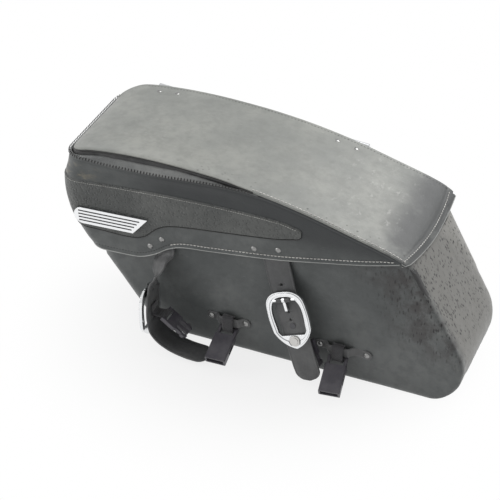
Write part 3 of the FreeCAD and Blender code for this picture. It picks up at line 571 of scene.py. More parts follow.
@dataclass(frozen=True)
class BodyForm:
    """The slanted tub: a rounded plan at each height, curled up at both ends of the base."""

    half_depth: float = 90.0
    base_radius: float = 60.0
    front_arc_x: float = -191.3
    rear_arc_x: float = 180.0
    front_slope: float = math.radians(36.1)
    rear_slope: float = math.radians(29.2)
    front_wall_x: float = -298.3
    edge: float = 14.0
    rear_bow: float = 0.00070
    corners: tuple[float, ...] = (30.0, 7.0, 45.0, 12.0)
    rim_drop: float = 12.0
    counts: tuple[int, ...] = (12, 120, 6, 34, 15, 90, 6, 40)
    curl_rows: int = 26
    wall_rows: int = 54

    def front(self, z: float) -> float:
        """Front end of the plan at a height."""
        bend = self.base_radius * (1 - math.sin(self.front_slope))
        if z < bend:
            return self.front_arc_x - math.sqrt(self.base_radius ** 2 - (self.base_radius - z) ** 2)
        start = self.front_arc_x - self.base_radius * math.cos(self.front_slope)
        return max(start - (z - bend) * math.tan(self.front_slope), self.front_wall_x)

    def rear(self, z: float) -> float:
        """Rear end of the plan at a height."""
        bend = self.base_radius * (1 + math.sin(self.rear_slope))
        if z < bend:
            return self.rear_arc_x + math.sqrt(self.base_radius ** 2 - (self.base_radius - z) ** 2)
        return self.rear_arc_x + self.base_radius * math.cos(self.rear_slope) - (z - bend) * math.tan(self.rear_slope)

    def bow(self, y: float, z: float) -> float:
        """How far the rear face draws in towards the outboard corner, under the lid."""
        return self.rear_bow * max(5.0 - y, 0.0) ** 2 * ease((z - 110.0) / 105.0)

    def plan(self, u: float, z: float) -> tuple[float, float]:
        """A point of the plan: u 0..8 runs front outboard corner, outboard side, rear corner, rear, and back round.

        Args:
            u: Place round the plan.
            z: Height.

        Returns:
            x and y.
        """
        x0, x1 = self.front(z), self.rear(z)
        y = self.half_depth - self.edge + math.sqrt(self.edge ** 2 - max(self.edge - z, 0) ** 2)
        fo, ro, ri, fi = self.corners
        leg = min(int(u), 7)
        t = u - leg
        x1 -= self.bow(-y, z) if leg < 2 else 0.0
        if leg % 2:
            ends = {1: ((x0 + fo, -y), (x1 - ro, -y)), 3: ((x1, ro - y), (x1, y - ri)),
                    5: ((x1 - ri, y), (x0 + fi, y)), 7: ((x0, y - fi), (x0, fo - y))}[leg]
            x, y = (ends[0][0] + (ends[1][0] - ends[0][0]) * t, ends[0][1] + (ends[1][1] - ends[0][1]) * t)
            return (x - self.bow(y, z) if leg == 3 else x), y
        centre, radius, turn = {0: ((x0 + fo, fo - y), fo, 2), 2: ((x1 - ro, ro - y), ro, 3),
                                4: ((x1 - ri, y - ri), ri, 0), 6: ((x0 + fi, y - fi), fi, 1)}[leg]
        x, y = corner(centre, radius, turn + t)
        return (x - self.bow(y, z) if leg == 2 else x), y

    def rim(self, x: float, y: float) -> float:
        """Height of the rim, which climbs from the outboard wall to the hinge side."""
        x = min(x, TOP_LINE[-1][0])
        drop = self.rim_drop - 3.0 * ease((x - 60.0) / 80.0)
        low, high = height_on(RIM_LINE, x), top_z(max(x, TOP_LINE[0][0])) - drop
        return low + (high - low) * (y + self.half_depth) / (2 * self.half_depth)

    def column(self, u: float) -> list[Vector]:
        """One column of points from the base up to the rim."""
        found = []
        for i in range(self.curl_rows):
            z = self.base_radius * (1 - math.cos(math.radians(3.0 * i)))
            found.append(Vector((*self.plan(u, z), z)))
        start = found[-1].z
        for i in range(1, self.wall_rows + 1):
            z = start
            for _ in range(8):
                x, y = self.plan(u, z)
                z = start + (self.rim(x, y) - start) * i / self.wall_rows
            found.append(Vector((*self.plan(u, z), z)))
        return found

    def places(self, start: float, stop: float) -> list[float]:
        """The grid's places round the plan between two of them."""
        return marks(self.counts, start, stop)

    def spots(self, start: float, stop: float, below_rim: float) -> list[Spot]:
        """Places just under the rim, for a row of stitches."""
        found = []
        for u in self.places(start, stop):
            point = self.column(u)[-1]
            z = point.z - below_rim
            x, y = self.plan(u, z)
            ahead, behind = self.plan(min(u + 0.02, 8.0), z), self.plan(max(u - 0.02, 0.0), z)
            along = Vector((ahead[0] - behind[0], ahead[1] - behind[1], 0))
            found.append((Vector((x, y, z)), along.cross(Vector((0, 0, 1))).normalized()))
        return found


@dataclass(frozen=True)
class LidForm:
    """The lid's skirt: a round nose in side view, running back along the outboard side."""

    face_y: float = -98.0
    wheel_y: float = 90.0
    nose_radius: float = 131.0
    nose_x: float = -220.0
    nose_z: float = 217.0
    corner_radius: float = 30.0
    open_x: float = -309.0
    end_x: float = 149.0
    counts: tuple[int, ...] = (18, 34, 16, 170)

    def front(self, z: float) -> float:
        """Front of the nose at a height."""
        return self.nose_x - math.sqrt(max(self.nose_radius ** 2 - (z - self.nose_z) ** 2, 1.0))

    def plan(self, u: float, z: float, out: float = 0.0) -> tuple[float, float]:
        """A point of the skirt's plan: u 0..4 runs wheel-side corner, nose, outboard corner, outboard side.

        Args:
            u: Place along the skirt.
            z: Height.
            out: Distance outside the skirt's face.

        Returns:
            x and y.
        """
        r, x0 = self.corner_radius, self.front(z)
        centre_x = x0 + r
        leg = min(int(u), 3)
        t = u - leg
        if leg == 0:
            behind = self.open_x - centre_x
            first = math.acos(max(-1.0, behind / r)) if behind < 0 else math.pi / 2
            straight = max(behind, 0.0)
            gone = t * (straight + r * (math.pi - first))
            if gone < straight:
                return (self.open_x - gone, self.wheel_y + out)
            angle = first + (gone - straight) / r
            return corner((centre_x, self.wheel_y - r), r + out, angle / (math.pi / 2))
        if leg == 1:
            return (x0 - out, self.wheel_y - r + (self.face_y + 2 * r - self.wheel_y) * t)
        if leg == 2:
            return corner((centre_x, self.face_y + r), r + out, 2 + t)
        return (centre_x + (self.end_x - centre_x) * t, self.face_y - out)

    def settle(self, u: float, level: Callable[[float], float]) -> float:
        """The height at which a column meets a height line that depends on x."""
        z = 220.0
        for _ in range(10):
            z = 0.5 * z + 0.5 * level(self.plan(u, z)[0])
        return z

    def point(self, u: float, z: float, out: float = 0.0) -> Vector:
        """A point on or outside the skirt."""
        return Vector((*self.plan(u, z, out), z))

    def outward(self, u: float, z: float) -> Vector:
        """The skirt's outward direction."""
        along = self.point(min(u + 0.01, 4.0), z) - self.point(max(u - 0.01, 0.0), z)
        up = self.point(u, z + 1) - self.point(u, z - 1)
        return along.cross(up).normalized()

    def places(self, start: float = 0.0, stop: float = 4.0) -> list[float]:
        """The grid's places along the skirt between two of them."""
        return marks(self.counts, start, stop)

    def u_at(self, x: float) -> float:
        """The place on the outboard side at this x, well behind the nose."""
        centre_x = self.front(250.0) + self.corner_radius
        return 3 + (x - centre_x) / (self.end_x - centre_x)

    def spots(self, start: float, stop: float, level: Callable[[float], float], out: float = 0.0) -> list[Spot]:
        """Places along the skirt at a height line, for a row of stitches."""
        found = []
        for u in self.places(start, stop):
            z = self.settle(u, level)
            found.append((self.point(u, z, out), self.outward(u, z)))
        return found


@dataclass(frozen=True)
class TopForm:
    """The lid's top panel: rounded at the nose in plan, bowed at the rear end, bent along the top line."""

    front_x: float = -333.0
    rear_x: float = 165.0
    bow: float = 0.00090
    bow_y: float = 5.0
    out_y: float = -98.5
    in_y: float = 90.0
    radii: tuple[float, float] = (26.0, 30.0)
    along: int = 170
    across: int = 56

    def end(self, y: float) -> float:
        """Rear end of the panel at this y."""
        return self.rear_x - self.bow * (y - self.bow_y) ** 2

    def limits(self, x: float) -> tuple[float, float]:
        """Where the panel starts and ends across the bag at x."""
        sides = []
        for radius in self.radii:
            gap = max(radius - max(x - self.front_x, 0.0), 0.0)
            sides.append(radius - math.sqrt(max(radius ** 2 - gap ** 2, 0.0)))
        return self.out_y + sides[0], self.in_y - sides[1]

    def spread(self, t: float, s: float) -> tuple[float, float]:
        """Plan place of a grid point: t runs from the nose to the rear end, s from the outboard edge inward."""
        y = self.out_y + (self.in_y - self.out_y) * s
        for _ in range(3):
            x = self.front_x + (self.end(y) - self.front_x) * t
            low, high = self.limits(x)
            y = low + (high - low) * s
        return x, y

    def surface(self, x: float, y: float) -> Vector:
        """A point on top."""
        return Vector((x, y, top_z(x)))

    def normal(self, x: float) -> Vector:
        """The top's upward direction."""
        return Vector((-(top_z(x + 1) - top_z(x - 1)) / 2, 0, 1)).normalized()


# ------------------------------------------------------------------ mesh kit
@dataclass
class Shape:
    """A mesh being built, in millimetres."""

    points: list[Vector] = field(default_factory=list)
    faces: list[tuple[int, ...]] = field(default_factory=list)

    def grid(self, rows: Sequence[Sequence[Vector]], ring: bool = False) -> "Shape":
        """Add a grid of quads.

        Args:
            rows: Rows of points, all of one length.
            ring: Whether each row closes on itself.

        Returns:
            This shape.
        """
        base, wide = len(self.points), len(rows[0])
        for row in rows:
            self.points.extend(row)
        for r in range(len(rows) - 1):
            for c in range(wide if ring else wide - 1):
                a, b = base + r * wide + c, base + r * wide + (c + 1) % wide
                self.faces.append((a, b, b + wide, a + wide))
        return self

    def tube(self, rings: Sequence[Sequence[Vector]], closed: bool = False) -> "Shape":
        """Add a closed skin through rings of points, capped unless it joins up.

        Args:
            rings: Rings of points, all of one length.
            closed: Whether the last ring joins the first.

        Returns:
            This shape.
        """
        base, wide = len(self.points), len(rings[0])
        loops = list(rings) + ([rings[0]] if closed else [])
        self.grid(loops, ring=True)
        if closed:
            for _ in range(wide):
                self.points.pop()
            last = base + len(rings) * wide
            self.faces = [tuple(i - last + base if i >= last else i for i in face) for face in self.faces]
        else:
            end = base + (len(rings) - 1) * wide
            self.faces.append(tuple(range(base + wide - 1, base - 1, -1)))
            self.faces.append(tuple(range(end, end + wide)))
        return self

    def mesh(self, name: str) -> bpy.types.Object:
        """Turn the shape into an object, in metres."""
        data = bpy.data.meshes.new(name)
        data.from_pydata([tuple(p * MM) for p in self.points], [], self.faces)
        data.polygons.foreach_set("use_smooth", [True] * len(data.polygons))
        data.update()
        made = bpy.data.objects.new(name, data)
        bpy.context.scene.collection.objects.link(made)
        return made

    def solid(self, name: str) -> bpy.types.Object:
        """Turn a closed shape into an object with its faces turned outward."""
        piece = self.mesh(name)
        work = bmesh.new()
        work.from_mesh(piece.data)
        bmesh.ops.recalc_face_normals(work, faces=work.faces)
        work.to_mesh(piece.data)
        work.free()
        return piece


def circle(centre: Vector, side: Vector, up: Vector, radius: float, count: int) -> list[Vector]:
    """Points of a circle across two directions."""
    return [centre + side * (radius * math.cos(a)) + up * (radius * math.sin(a))
            for a in (k * math.tau / count for k in range(count))]


def heading(line: Sequence[Vector], i: int, closed: bool = False) -> Vector:
    """The direction of a line at one of its points."""
    last = len(line) - 1
    ahead = line[(i + 1) % len(line)] if closed else line[min(i + 1, last)]
    return (ahead - line[i - 1 if closed else max(i - 1, 0)]).normalized()


def emboss(piece: bpy.types.Object, relief: Relief) -> None:
    """Move each point along its normal by relief, in mm, of its place in mm."""
    mesh = piece.data
    normals = [item.vector.copy() for item in mesh.vertex_normals]
    for point, normal in zip(mesh.vertices, normals):
        point.co += normal * relief(point.co / MM) * MM
    mesh.update()


def thicken(piece: bpy.types.Object, inward: float, edge: float) -> None:
    """Give a sheet this thickness, inward from its face, and edges of this radius, in mm."""
    solid = piece.modifiers.new("thickness", "SOLIDIFY")
    solid.thickness = inward * MM
    solid.offset = -1.0
    solid.use_quality_normals = True
    rounding = piece.modifiers.new("edge", "BEVEL")
    rounding.width = edge * MM
    rounding.segments = 2
    rounding.limit_method = "ANGLE"
    rounding.angle_limit = math.radians(50)
    settle_modifiers(piece)


def settle_modifiers(piece: bpy.types.Object) -> None:
    """Apply the modifiers to the mesh."""
    bpy.context.view_layer.update()
    seen = piece.evaluated_get(bpy.context.evaluated_depsgraph_get())
    final = bpy.data.meshes.new_from_object(seen)
    piece.modifiers.clear()
    piece.data = final
    final.polygons.foreach_set("use_smooth", [True] * len(final.polygons))


def bore(piece: bpy.types.Object, holes: Sequence[tuple[Vector, Vector, float]], reach: float = 12.0) -> None:
    """Cut round holes through a closed piece.

    Args:
        piece: The piece.
        holes: Centre, axis and radius of each hole, in mm.
        reach: Half length of the cut, in mm.
    """
    shape = Shape()
    for centre, axis, radius in holes:
        way = axis.normalized()
        side = way.orthogonal().normalized()
        other = way.cross(side)
        shape.tube([circle(centre + way * end, side, other, radius, 24) for end in (-reach, reach)])
    cutter = shape.solid("cutter")
    cut = piece.modifiers.new("holes", "BOOLEAN")
    cut.object = cutter
    cut.solver = "EXACT"
    settle_modifiers(piece)
    bpy.data.objects.remove(cutter)


def dress(piece: bpy.types.Object, paint: Paint, body: Optional[str], slot: Slot, *nodes: str) -> bpy.types.Object:
    """Paint a piece, let it ride on a body and stand for CAD nodes.

    Args:
        piece: The piece.
        paint: Its finish.
        body: The body it rides on, or None where it bends between two.
        slot: The record's material slot; not used.
        nodes: CAD nodes that it replaces.

    Returns:
        The piece.
    """
    piece.data.materials.clear()
    piece.data.materials.append(paint.material)
    if body:
        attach(piece, body)
    if nodes:
        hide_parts(*nodes)
    LOG.info("%s: %d faces, rides on %s", piece.name, len(piece.data.polygons), body or "two bodies")
    return piece


def through(points: Sequence[Vector], steps: int = 8, closed: bool = False) -> list[Vector]:
    """A smooth line through unevenly spaced points.

    Args:
        points: The points.
        steps: Pieces between neighbours.
        closed: Whether the line joins up.

    Returns:
        The line's points.
    """
    count = len(points)

    def slope(i: int) -> Vector:
        """The line's direction at a point, per mm."""
        if not closed and i in (0, count - 1):
            a, b = (points[0], points[1]) if i == 0 else (points[-2], points[-1])
            return (b - a) / max((b - a).length, NUDGE)
        a, b, c = points[(i - 1) % count], points[i % count], points[(i + 1) % count]
        back, fore = max((b - a).length, NUDGE), max((c - b).length, NUDGE)
        return ((b - a) / back * fore + (c - b) / fore * back) / (back + fore)

    found = []
    for i in range(count if closed else count - 1):
        a, b = points[i], points[(i + 1) % count]
        span = (b - a).length
        for step in range(steps):
            start, leaving, end, arriving = hermite(step / steps)
            found.append(a * start + slope(i) * (span * leaving)
                         + b * end + slope((i + 1) % count) * (span * arriving))
    return found if closed else found + [points[-1]]


@dataclass(frozen=True)
class Strip:
    """A flat strip of leather or webbing with rounded edges and, if wanted, a pressed line along each edge."""

    width: float
    thick: float
    crease: float = 0.0
    tip: float = 0.0

    def outline(self) -> list[tuple[float, float]]:
        """The cross-section as (across, outward) pairs."""
        half, rise = self.width / 2, self.thick / 2
        side = [(half, 0.0), (half - 0.10 * self.thick, 0.60 * rise), (half - 0.38 * self.thick, rise)]
        line = [(half - 2.2, rise), (half - 2.9, rise - self.crease), (half - 3.6, rise)] if self.crease else []
        quarter = side + line + [(half * 0.45, rise)]
        top = quarter + [(0.0, rise)] + [(-a, b) for a, b in reversed(quarter)]
        return top + [(a, -b) for a, b in reversed(top[1:-1])]

    def lay(self, name: str, line: Sequence[Vector], across: Sequence[Vector], closed: bool = False,
            round_ends: tuple[bool, bool] = (False, False)) -> bpy.types.Object:
        """Sweep the strip along a line.

        Args:
            name: The piece's name.
            line: The strip's middle.
            across: The width direction at each point of the line.
            closed: Whether the strip joins up.
            round_ends: Whether the start and the end are cut round.

        Returns:
            The piece.
        """
        gone = [0.0]
        for a, b in zip(line, line[1:]):
            gone.append(gone[-1] + (b - a).length)
        rings = []
        for i, centre in enumerate(line):
            along = heading(line, i, closed)
            side = (across[i] - along * across[i].dot(along)).normalized()
            out = along.cross(side)
            size = 1.0
            for wanted, distance in zip(round_ends, (gone[i], gone[-1] - gone[i])):
                if wanted and distance < self.tip:
                    size = min(size, math.sqrt(max(1 - (1 - distance / self.tip) ** 2, 0.004)))
            rings.append([centre + side * (a * size) + out * b for a, b in self.outline()])
        return Shape().tube(rings, closed).solid(name)


@dataclass(frozen=True)
class Stitches:
    """A row of stitches along a line on a surface; each stitch may be turned by some degrees."""

    pitch: float
    long: float
    radius: float
    turn: float = 0.0
    lift: float = 0.25

    def sew(self, name: str, spots: Sequence[Spot]) -> bpy.types.Object:
        """Build the row.

        Args:
            name: The piece's name.
            spots: Places on the surface with their outward directions, in order.

        Returns:
            The piece.
        """
        shape = Shape()
        gone = [0.0]
        for (a, _), (b, _) in zip(spots, spots[1:]):
            gone.append(gone[-1] + (b - a).length)
        at, i, serial = self.pitch / 2, 0, 0
        while at < gone[-1]:
            while gone[i + 1] < at:
                i += 1
            t = (at - gone[i]) / max(gone[i + 1] - gone[i], NUDGE)
            (here, out), (there, next_out) = spots[i], spots[i + 1]
            centre, out = here.lerp(there, t), out.lerp(next_out, t).normalized()
            along = (there - here).normalized()
            wobble = WOBBLE * math.sin(serial * GOLDEN_ANGLE + gone[-1])
            along = Matrix.Rotation(math.radians(self.turn) + wobble, 3, out) @ along
            self.stitch(shape, centre, along, out)
            at += self.pitch
            serial += 1
        return shape.solid(name)

    def stitch(self, shape: Shape, centre: Vector, along: Vector, out: Vector) -> None:
        """Add one stitch, its ends sunk into the leather."""
        side = along.cross(out)
        rings = []
        for t, size in ((-1.0, 0.45), (-0.72, 0.85), (-0.3, 1.0), (0.3, 1.0), (0.72, 0.85), (1.0, 0.45)):
            middle = centre + along * (t * self.long / 2) + out * (self.lift - 0.75 * self.radius * t ** 4)
            rings.append(circle(middle, side, out, size * self.radius, 6))
        shape.tube(rings)


# ------------------------------------------------------------------ sub-assemblies
@dataclass
class Tub:
    """The body of the bag: outboard side, gusset with the base, and wheel side."""

    form: BodyForm = BodyForm()
    leather: float = 2.4
    rear_seam: float = 2.5
    back_start: float = 4.6
    back_end: float = 6.5
    bolts: tuple[tuple[float, float], ...] = ((-150.0, 200.0), (90.0, 200.0), (-30.0, 75.0))
    bolt_radius: float = 8.2
    board_inset: float = 3.6
    ridge_at: float = 281.5
    hollow_at: float = 262.0
    dent_size: float = 95.0
    wave_size: float = 34.0
    stitch_below_rim: float = 7.0

    def relief(self, place: Vector) -> float:
        """Soft dents and folds of the leather, in mm outward."""
        x, y, z = place
        crease = x + z * REAR_LEAN
        amount = 0.75 * swell(place, self.dent_size) + 0.30 * swell(place, self.wave_size, 7.0)
        if y < -60:
            quiet = ease((abs(z - 54.0) - 8.0) / 14.0)
            amount *= 0.35 + 0.65 * quiet
            hollow = crease - self.hollow_at - 7 * swell(place, 60.0, 3.0)
            amount -= 0.5 * near(hollow, 16.0) * ease((z - 20) / 30)
            drawn = Vector((x * 0.35, y, z * 1.25))
            amount += 0.55 * swell(drawn, 15.0, 11.0) * ease((crease - 185.0) / 60.0)
        amount += 0.75 * near(crease - self.ridge_at, 1.6) * near(y + 88.0, 4.0) * ease((z - 8) / 20)
        if x > 60 and y > -84:
            bend = 12.0 + (212.0 - z) * 0.62
            amount += 1.5 * ease((y - bend) / 7.0) * ease((z - 62.0) / 40.0)
            amount += 0.45 * swell(Vector((x, y * 1.5, z * 0.6)), 13.0, 5.0) * (1 - ease((y - bend) / 9.0))
        front_edge = -191.3 - 48.5 - max(z - 24.6, 0.0) * 0.729
        if x < -150 and z < 160:
            amount += 1.0 * near(max(x - front_edge, -6.0) - 5.0, 2.2) * near(y + 80.0, 12.0)
        return amount * ease(z / 6.0) * ease((self.form.rim(x, y) - z) / 10.0)

    def panel(self, name: str, spans: Sequence[tuple[float, float]], base: bool,
              inset: float = 0.0) -> bpy.types.Object:
        """One leather panel, or the board that lines it.

        Args:
            name: The piece's name.
            spans: Stretches of the plan that it covers.
            base: Whether the flat base belongs to it.
            inset: Distance inside the bag's outer face; nothing for leather.

        Returns:
            The piece.
        """
        shape = Shape()
        for start, stop in spans:
            columns = [self.form.column(u) for u in self.form.places(start, stop)]
            shape.grid([list(row) for row in zip(*columns)])
        if base:
            ring = [self.form.column(u)[0] for u in self.form.places(0.0, 8.0)[:-1]]
            first = len(shape.points)
            shape.points.extend(ring)
            shape.faces.append(tuple(range(first + len(ring) - 1, first - 1, -1)))
        piece = shape.mesh(name)
        work = bmesh.new()
        work.from_mesh(piece.data)
        bmesh.ops.remove_doubles(work, verts=work.verts, dist=0.02 * MM)
        work.to_mesh(piece.data)
        work.free()
        emboss(piece, self.relief if inset == 0 else lambda _: -inset)
        thicken(piece, self.leather, 0.5)
        return piece

    def build(self, look: Finishes) -> None:
        """Build, dress and stitch the three panels."""
        outboard = self.panel("body_outboard_leather", [(0.0, self.rear_seam)], False)
        dress(outboard, look.body, "bag", Slot.BODY, "outboard_panel")
        around = [(self.rear_seam, self.back_start), (self.back_end, 8.0)]
        gusset = self.panel("body_gusset_leather", around, True)
        dress(gusset, look.body, "bag", Slot.BODY, "gusset_panel")
        board = self.panel("body_gusset_board", around, True, self.board_inset)
        dress(board, look.by_slot["liner_plastic"], "bag", Slot.BOARD, "gusset_liner")
        back = self.panel("body_back_leather", [(self.back_start, self.back_end)], False)
        bore(back, [(Vector((x, 90.0, z)), Vector((0, 1, 0)), self.bolt_radius) for x, z in self.bolts])
        dress(back, look.body, "bag", Slot.BODY, "back_panel")
        rim = Stitches(5.6, 4.0, 0.5)
        for name, start, stop in (("outboard", 0.0, 2.0), ("back", self.back_start, 8.0)):
            row = rim.sew(f"body_rim_stitches_{name}", self.form.spots(start, stop, self.stitch_below_rim))
            dress(row, look.thread, "bag", Slot.BODY)


@dataclass
class LidShell:
    """The lid: side leather, textured overlay, corner band and top panel, with their stitching."""

    form: LidForm = LidForm()
    top: TopForm = TopForm()
    leather: float = 2.5
    rows: int = 58
    overlay_rise: float = 1.8
    overlay_rows: int = 40
    band_end_x: float = -56.0
    cross_end_x: float = -66.0
    pale_from_x: float = -190.0
    hem_line_up: float = 6.0
    hem_edge_end_x: float = 148.0
    edge_line_in: float = 2.4
    rear_line_in: float = 4.5
    far_line_in: float = 4.0
    hem_drop: float = 5.4
    hem_overlap: float = 2.6
    tip_x: float = 11.0
    tip_z: float = 233.0

    def side_relief(self, place: Vector) -> float:
        """Hem, seam groove and soft waves of the side leather, in mm outward."""
        x, _, z = place
        edge, seam = z - lid_edge_z(x), seam_z(x) - z
        room = ease((seam + edge - 6.0) / 30.0)
        amount = 0.35 * near(edge - 1.5, 1.6) - 0.45 * near(edge - 6.0, 1.1)
        amount += room * (0.30 * swell(place, 60.0) + 0.15 * swell(place, 22.0, 4.0))
        amount -= room * 1.3 * near(seam - 17.0, 9.0) * ease((-60.0 - x) / 50.0)
        amount -= 0.5 * near(seam - 4.2, 1.2)
        return amount * ease(max(edge, 0.35) / 0.7)

    def side(self, look: Finishes) -> None:
        """The side leather between the lower edge and the corner seam, with a painted highlight along the lower edge.
        """
        columns = []
        for u in self.form.places():
            low, high = self.form.settle(u, lid_edge_z), self.form.settle(u, seam_z)
            high = max(high, low + 0.8)
            columns.append([self.form.point(u, low + (high - low) * t) for t in pulled(self.rows, 0.125)])
        piece = Shape().grid([list(row) for row in zip(*columns)]).mesh("lid_side_leather")
        emboss(piece, self.side_relief)
        thicken(piece, self.leather, 0.7)
        dress(piece, look.side, "lid", Slot.LID, "lid_side_panel")
        # Painted highlight: a light cord along the lid's lower edge.
        edge = self.form.spots(0.0, self.form.u_at(self.hem_edge_end_x), lid_edge_z)
        self.cord("lid_hem_edge_highlight", [place + out * 0.1 for place, out in edge], 0.8, look.band)

    def overlay_limits(self, x: float) -> tuple[float, float]:
        """Lower and upper height of the overlay at x, rounded at its rear tip."""
        low, high = height_on(OVERLAY_LOW, x), height_on(OVERLAY_TOP, x)
        if x > -1.0:
            low = self.tip_z - 10.5 * math.sqrt(max(1 - ((x + 1.0) / 12.0) ** 2, 0.0))
        if x > 2.0:
            high = self.tip_z + 8.0 * math.sqrt(max(1 - ((x - 2.0) / 9.0) ** 2, 0.0))
        return low, high

    def overlay(self, look: Finishes) -> None:
        """The textured overlay, standing proud of the side leather, with a painted shadow under its lower edge."""
        tip = self.form.u_at(self.tip_x)
        run = [u for u in self.form.places(0.35, tip) if u < tip - 0.004]
        run += [tip - 0.004 * (1 - i / 6) ** 2 for i in range(7)]
        columns, spots = [], []
        for u in run:
            low = self.form.settle(u, lambda x: self.overlay_limits(x)[0])
            high = max(self.form.settle(u, lambda x: self.overlay_limits(x)[1]), low + 0.3)
            tall = high - low
            spots.append((self.form.point(u, high - 3.0, self.overlay_rise), self.form.outward(u, high)))
            column = []
            for t in pulled(self.overlay_rows, 0.14):
                gap = min(t, 1 - t) * tall
                end = max(self.tip_x - self.form.plan(u, low)[0], 0.0)
                rise = self.overlay_rise * (0.15 + 0.85 * ease(min(gap, end) / 1.5))
                groove = 0.35 * near(min(gap, end) - 3.0, 0.8)
                column.append(self.form.point(u, low + tall * t, rise - groove))
            columns.append(column)
        piece = Shape().grid([list(row) for row in zip(*columns)]).mesh("lid_embossed_overlay")
        thicken(piece, 1.2, 0.3)
        dress(piece, look.embossed, "lid", Slot.EMBOSSED, "lid_texture_panel")
        row = Stitches(3.4, 2.3, 0.34, 0.0, 0.1).sew("lid_overlay_stitches", spots[:-8])
        dress(row, look.thread, "lid", Slot.EMBOSSED)
        # Painted shadow: a dark cord tucked under the overlay's lower edge.
        under = [column[0] + self.form.outward(u, column[0].z) * 0.3 - Vector((0, 0, 0.5))
                 for u, column in zip(run, columns)]
        self.cord("lid_overlay_lower_shadow", under[:-2], 0.75, look.dark_thread_and_shadow)

    def band(self, look: Finishes) -> None:
        """The corner band that rolls up from the seam to the top panel's underside."""
        section = ((-0.8, -1.4), (0.7, -1.2), (1.5, 0.2), (2.0, 2.0), (2.1, 3.8), (1.7, 5.8), (0.8, 8.0),
                   (-0.6, 10.2), (-2.3, 12.0), (-3.0, 12.2), (-2.6, 10.4), (-1.6, 8.0), (-1.0, 4.0))
        rings = []
        for u in self.form.places(0.0, self.form.u_at(self.band_end_x)):
            z = self.form.settle(u, seam_z)
            x = self.form.plan(u, z)[0]
            room = top_z(x) - TOP_THICK - z
            size = max(0.14, min(1.0, (room - 3.2) / 12.0))
            rings.append([self.form.point(u, z + up * size, out * (0.35 + 0.65 * size)) for out, up in section])
        piece = Shape().tube(rings).solid("lid_corner_band")
        # The band's lighter leather is a painted highlight on the roll.
        dress(piece, look.rolled, "lid", Slot.LID, "lid_corner_welt")

    def panel(self, look: Finishes) -> None:
        """The top panel, with its pressed hems, a soft roll at its edges and a painted shadow under the front half of
        its outboard edge.
        """
        top = self.top
        across = pulled(top.across, 0.12)[::-1]
        rows = [[top.surface(*top.spread(t, share)) for share in across] for t in pulled(top.along, 0.10)]
        piece = Shape().grid(rows).mesh("lid_top_leather")
        emboss(piece, self.top_relief)
        thicken(piece, 3.6, 1.0)
        dress(piece, look.top, "lid", Slot.LID, "lid_top_panel")
        # Painted shadow: a dark cord in the gap under the front half of the top panel's outboard edge.
        edge = []
        for i in range(88):
            x, y = top.spread(0.02 + 0.54 * i / 87, 0.004)
            place = top.surface(x, y)
            edge.append(place + Vector((0, -0.1, self.top_relief(place) - 2.9)))
        self.cord("lid_top_edge_shadow", edge, 1.35, look.dark_thread_and_shadow)

    def top_relief(self, place: Vector) -> float:
        """Soft waves, rolled edges and the hem's pressed line, in mm upward."""
        x, y, _ = place
        low, high = self.top.limits(max(x, self.top.front_x + 0.5))
        rear = self.top.end(y) - x
        gap = min(y - low, high - y, x - self.top.front_x, rear)
        hem = min(y - low if x > -60 else 99.0, rear)
        amount = 0.9 * swell(place, 110.0, 2.0) * ease(gap / 40.0)
        amount += 0.22 * swell(place, 30.0, 9.0) * ease(gap / 15.0)
        amount -= (0.8 if y < 60 else -0.5) * (1 - ease((gap + 0.6) / 5.0)) + 0.35 * near(hem - 8.0, 1.2)
        lifted = ease((-50.0 - x) / 70.0) * ease((x + 334.0) / 24.0) * near(max(y - low, 0.0), 13.0)
        return amount + 2.3 * lifted + 0.5 * near(gap - 16.0, 10.0) * ease((-120.0 - x) / 60.0)

    def hem_path(self) -> list[tuple[Vector, Vector]]:
        """Places along the top panel's edge round its rear end, with the plan direction outward."""
        top, found = self.top, []
        for x in range(136, 154, 2):
            sunk = 2.2 * ease((152.0 - x) / 8.0)
            found.append((Vector((x, top.out_y + 0.3 + sunk, top_z(x))), OUTBOARD))
        for i in range(60):
            y = top.out_y + 1.5 + (top.in_y - top.out_y - 3.0) * i / 59
            turn = ease(i / 3.0)
            x = top.end(y) - 1.5 * (1 - turn)
            way = Vector((turn, turn - 1.0, 0)).normalized()
            found.append((Vector((x, y, top_z(x))), way))
        return found

    def rear_hem(self, look: Finishes) -> None:
        """The turned-down hem at the rear end, which shuts against the body's rear face, with a painted highlight
        along its foot.
        """
        rings, foot_line = [], []
        body = BodyForm()
        for place, way in self.hem_path():
            drop = self.hem_drop - 0.8 * near(place.y + 98.0, 30.0)
            if way.x == 0:
                drop = max(drop, place.z - lid_edge_z(place.x))
            skin = body.rear(place.z - drop) - body.bow(place.y, 215.0)
            reach = max(0.5, (skin + self.hem_overlap - place.x) * way.x)
            section = ((-2.4, -0.9), (-0.5, -0.8), (0.5, -1.9), (0.5 * reach + 0.4, -0.5 * drop), (reach, 0.9 - drop),
                       (reach - 0.6, -drop), (reach - 1.9, 0.2 - drop), (-1.4, -3.4))
            rings.append([place + way * out + Vector((0, 0, up)) for out, up in section])
            if place.x >= self.hem_edge_end_x or way.x > 0:
                foot_line.append(place + way * (reach - 0.2) + Vector((0, 0, 0.5 - drop)))
        piece = Shape().tube(rings).solid("lid_rear_hem")
        dress(piece, look.top, "lid", Slot.LID)
        # Painted highlight: a light cord along the hem's foot.
        self.cord("lid_rear_edge_highlight", foot_line, 0.75, look.band)

    def cord(self, name: str, line: Sequence[Vector], radius: float, paint: Paint) -> None:
        """A thin round cord of this radius along a line on the lid; light ones are painted highlights on edges, dark
        ones painted shadows under edges.
        """
        rings = []
        for i, centre in enumerate(line):
            along = heading(line, i)
            side = along.cross(Vector((0, 0, 1))).normalized()
            rings.append(circle(centre, side, side.cross(along), radius, 8))
        dress(Shape().tube(rings).solid(name), paint, "lid", Slot.LID)

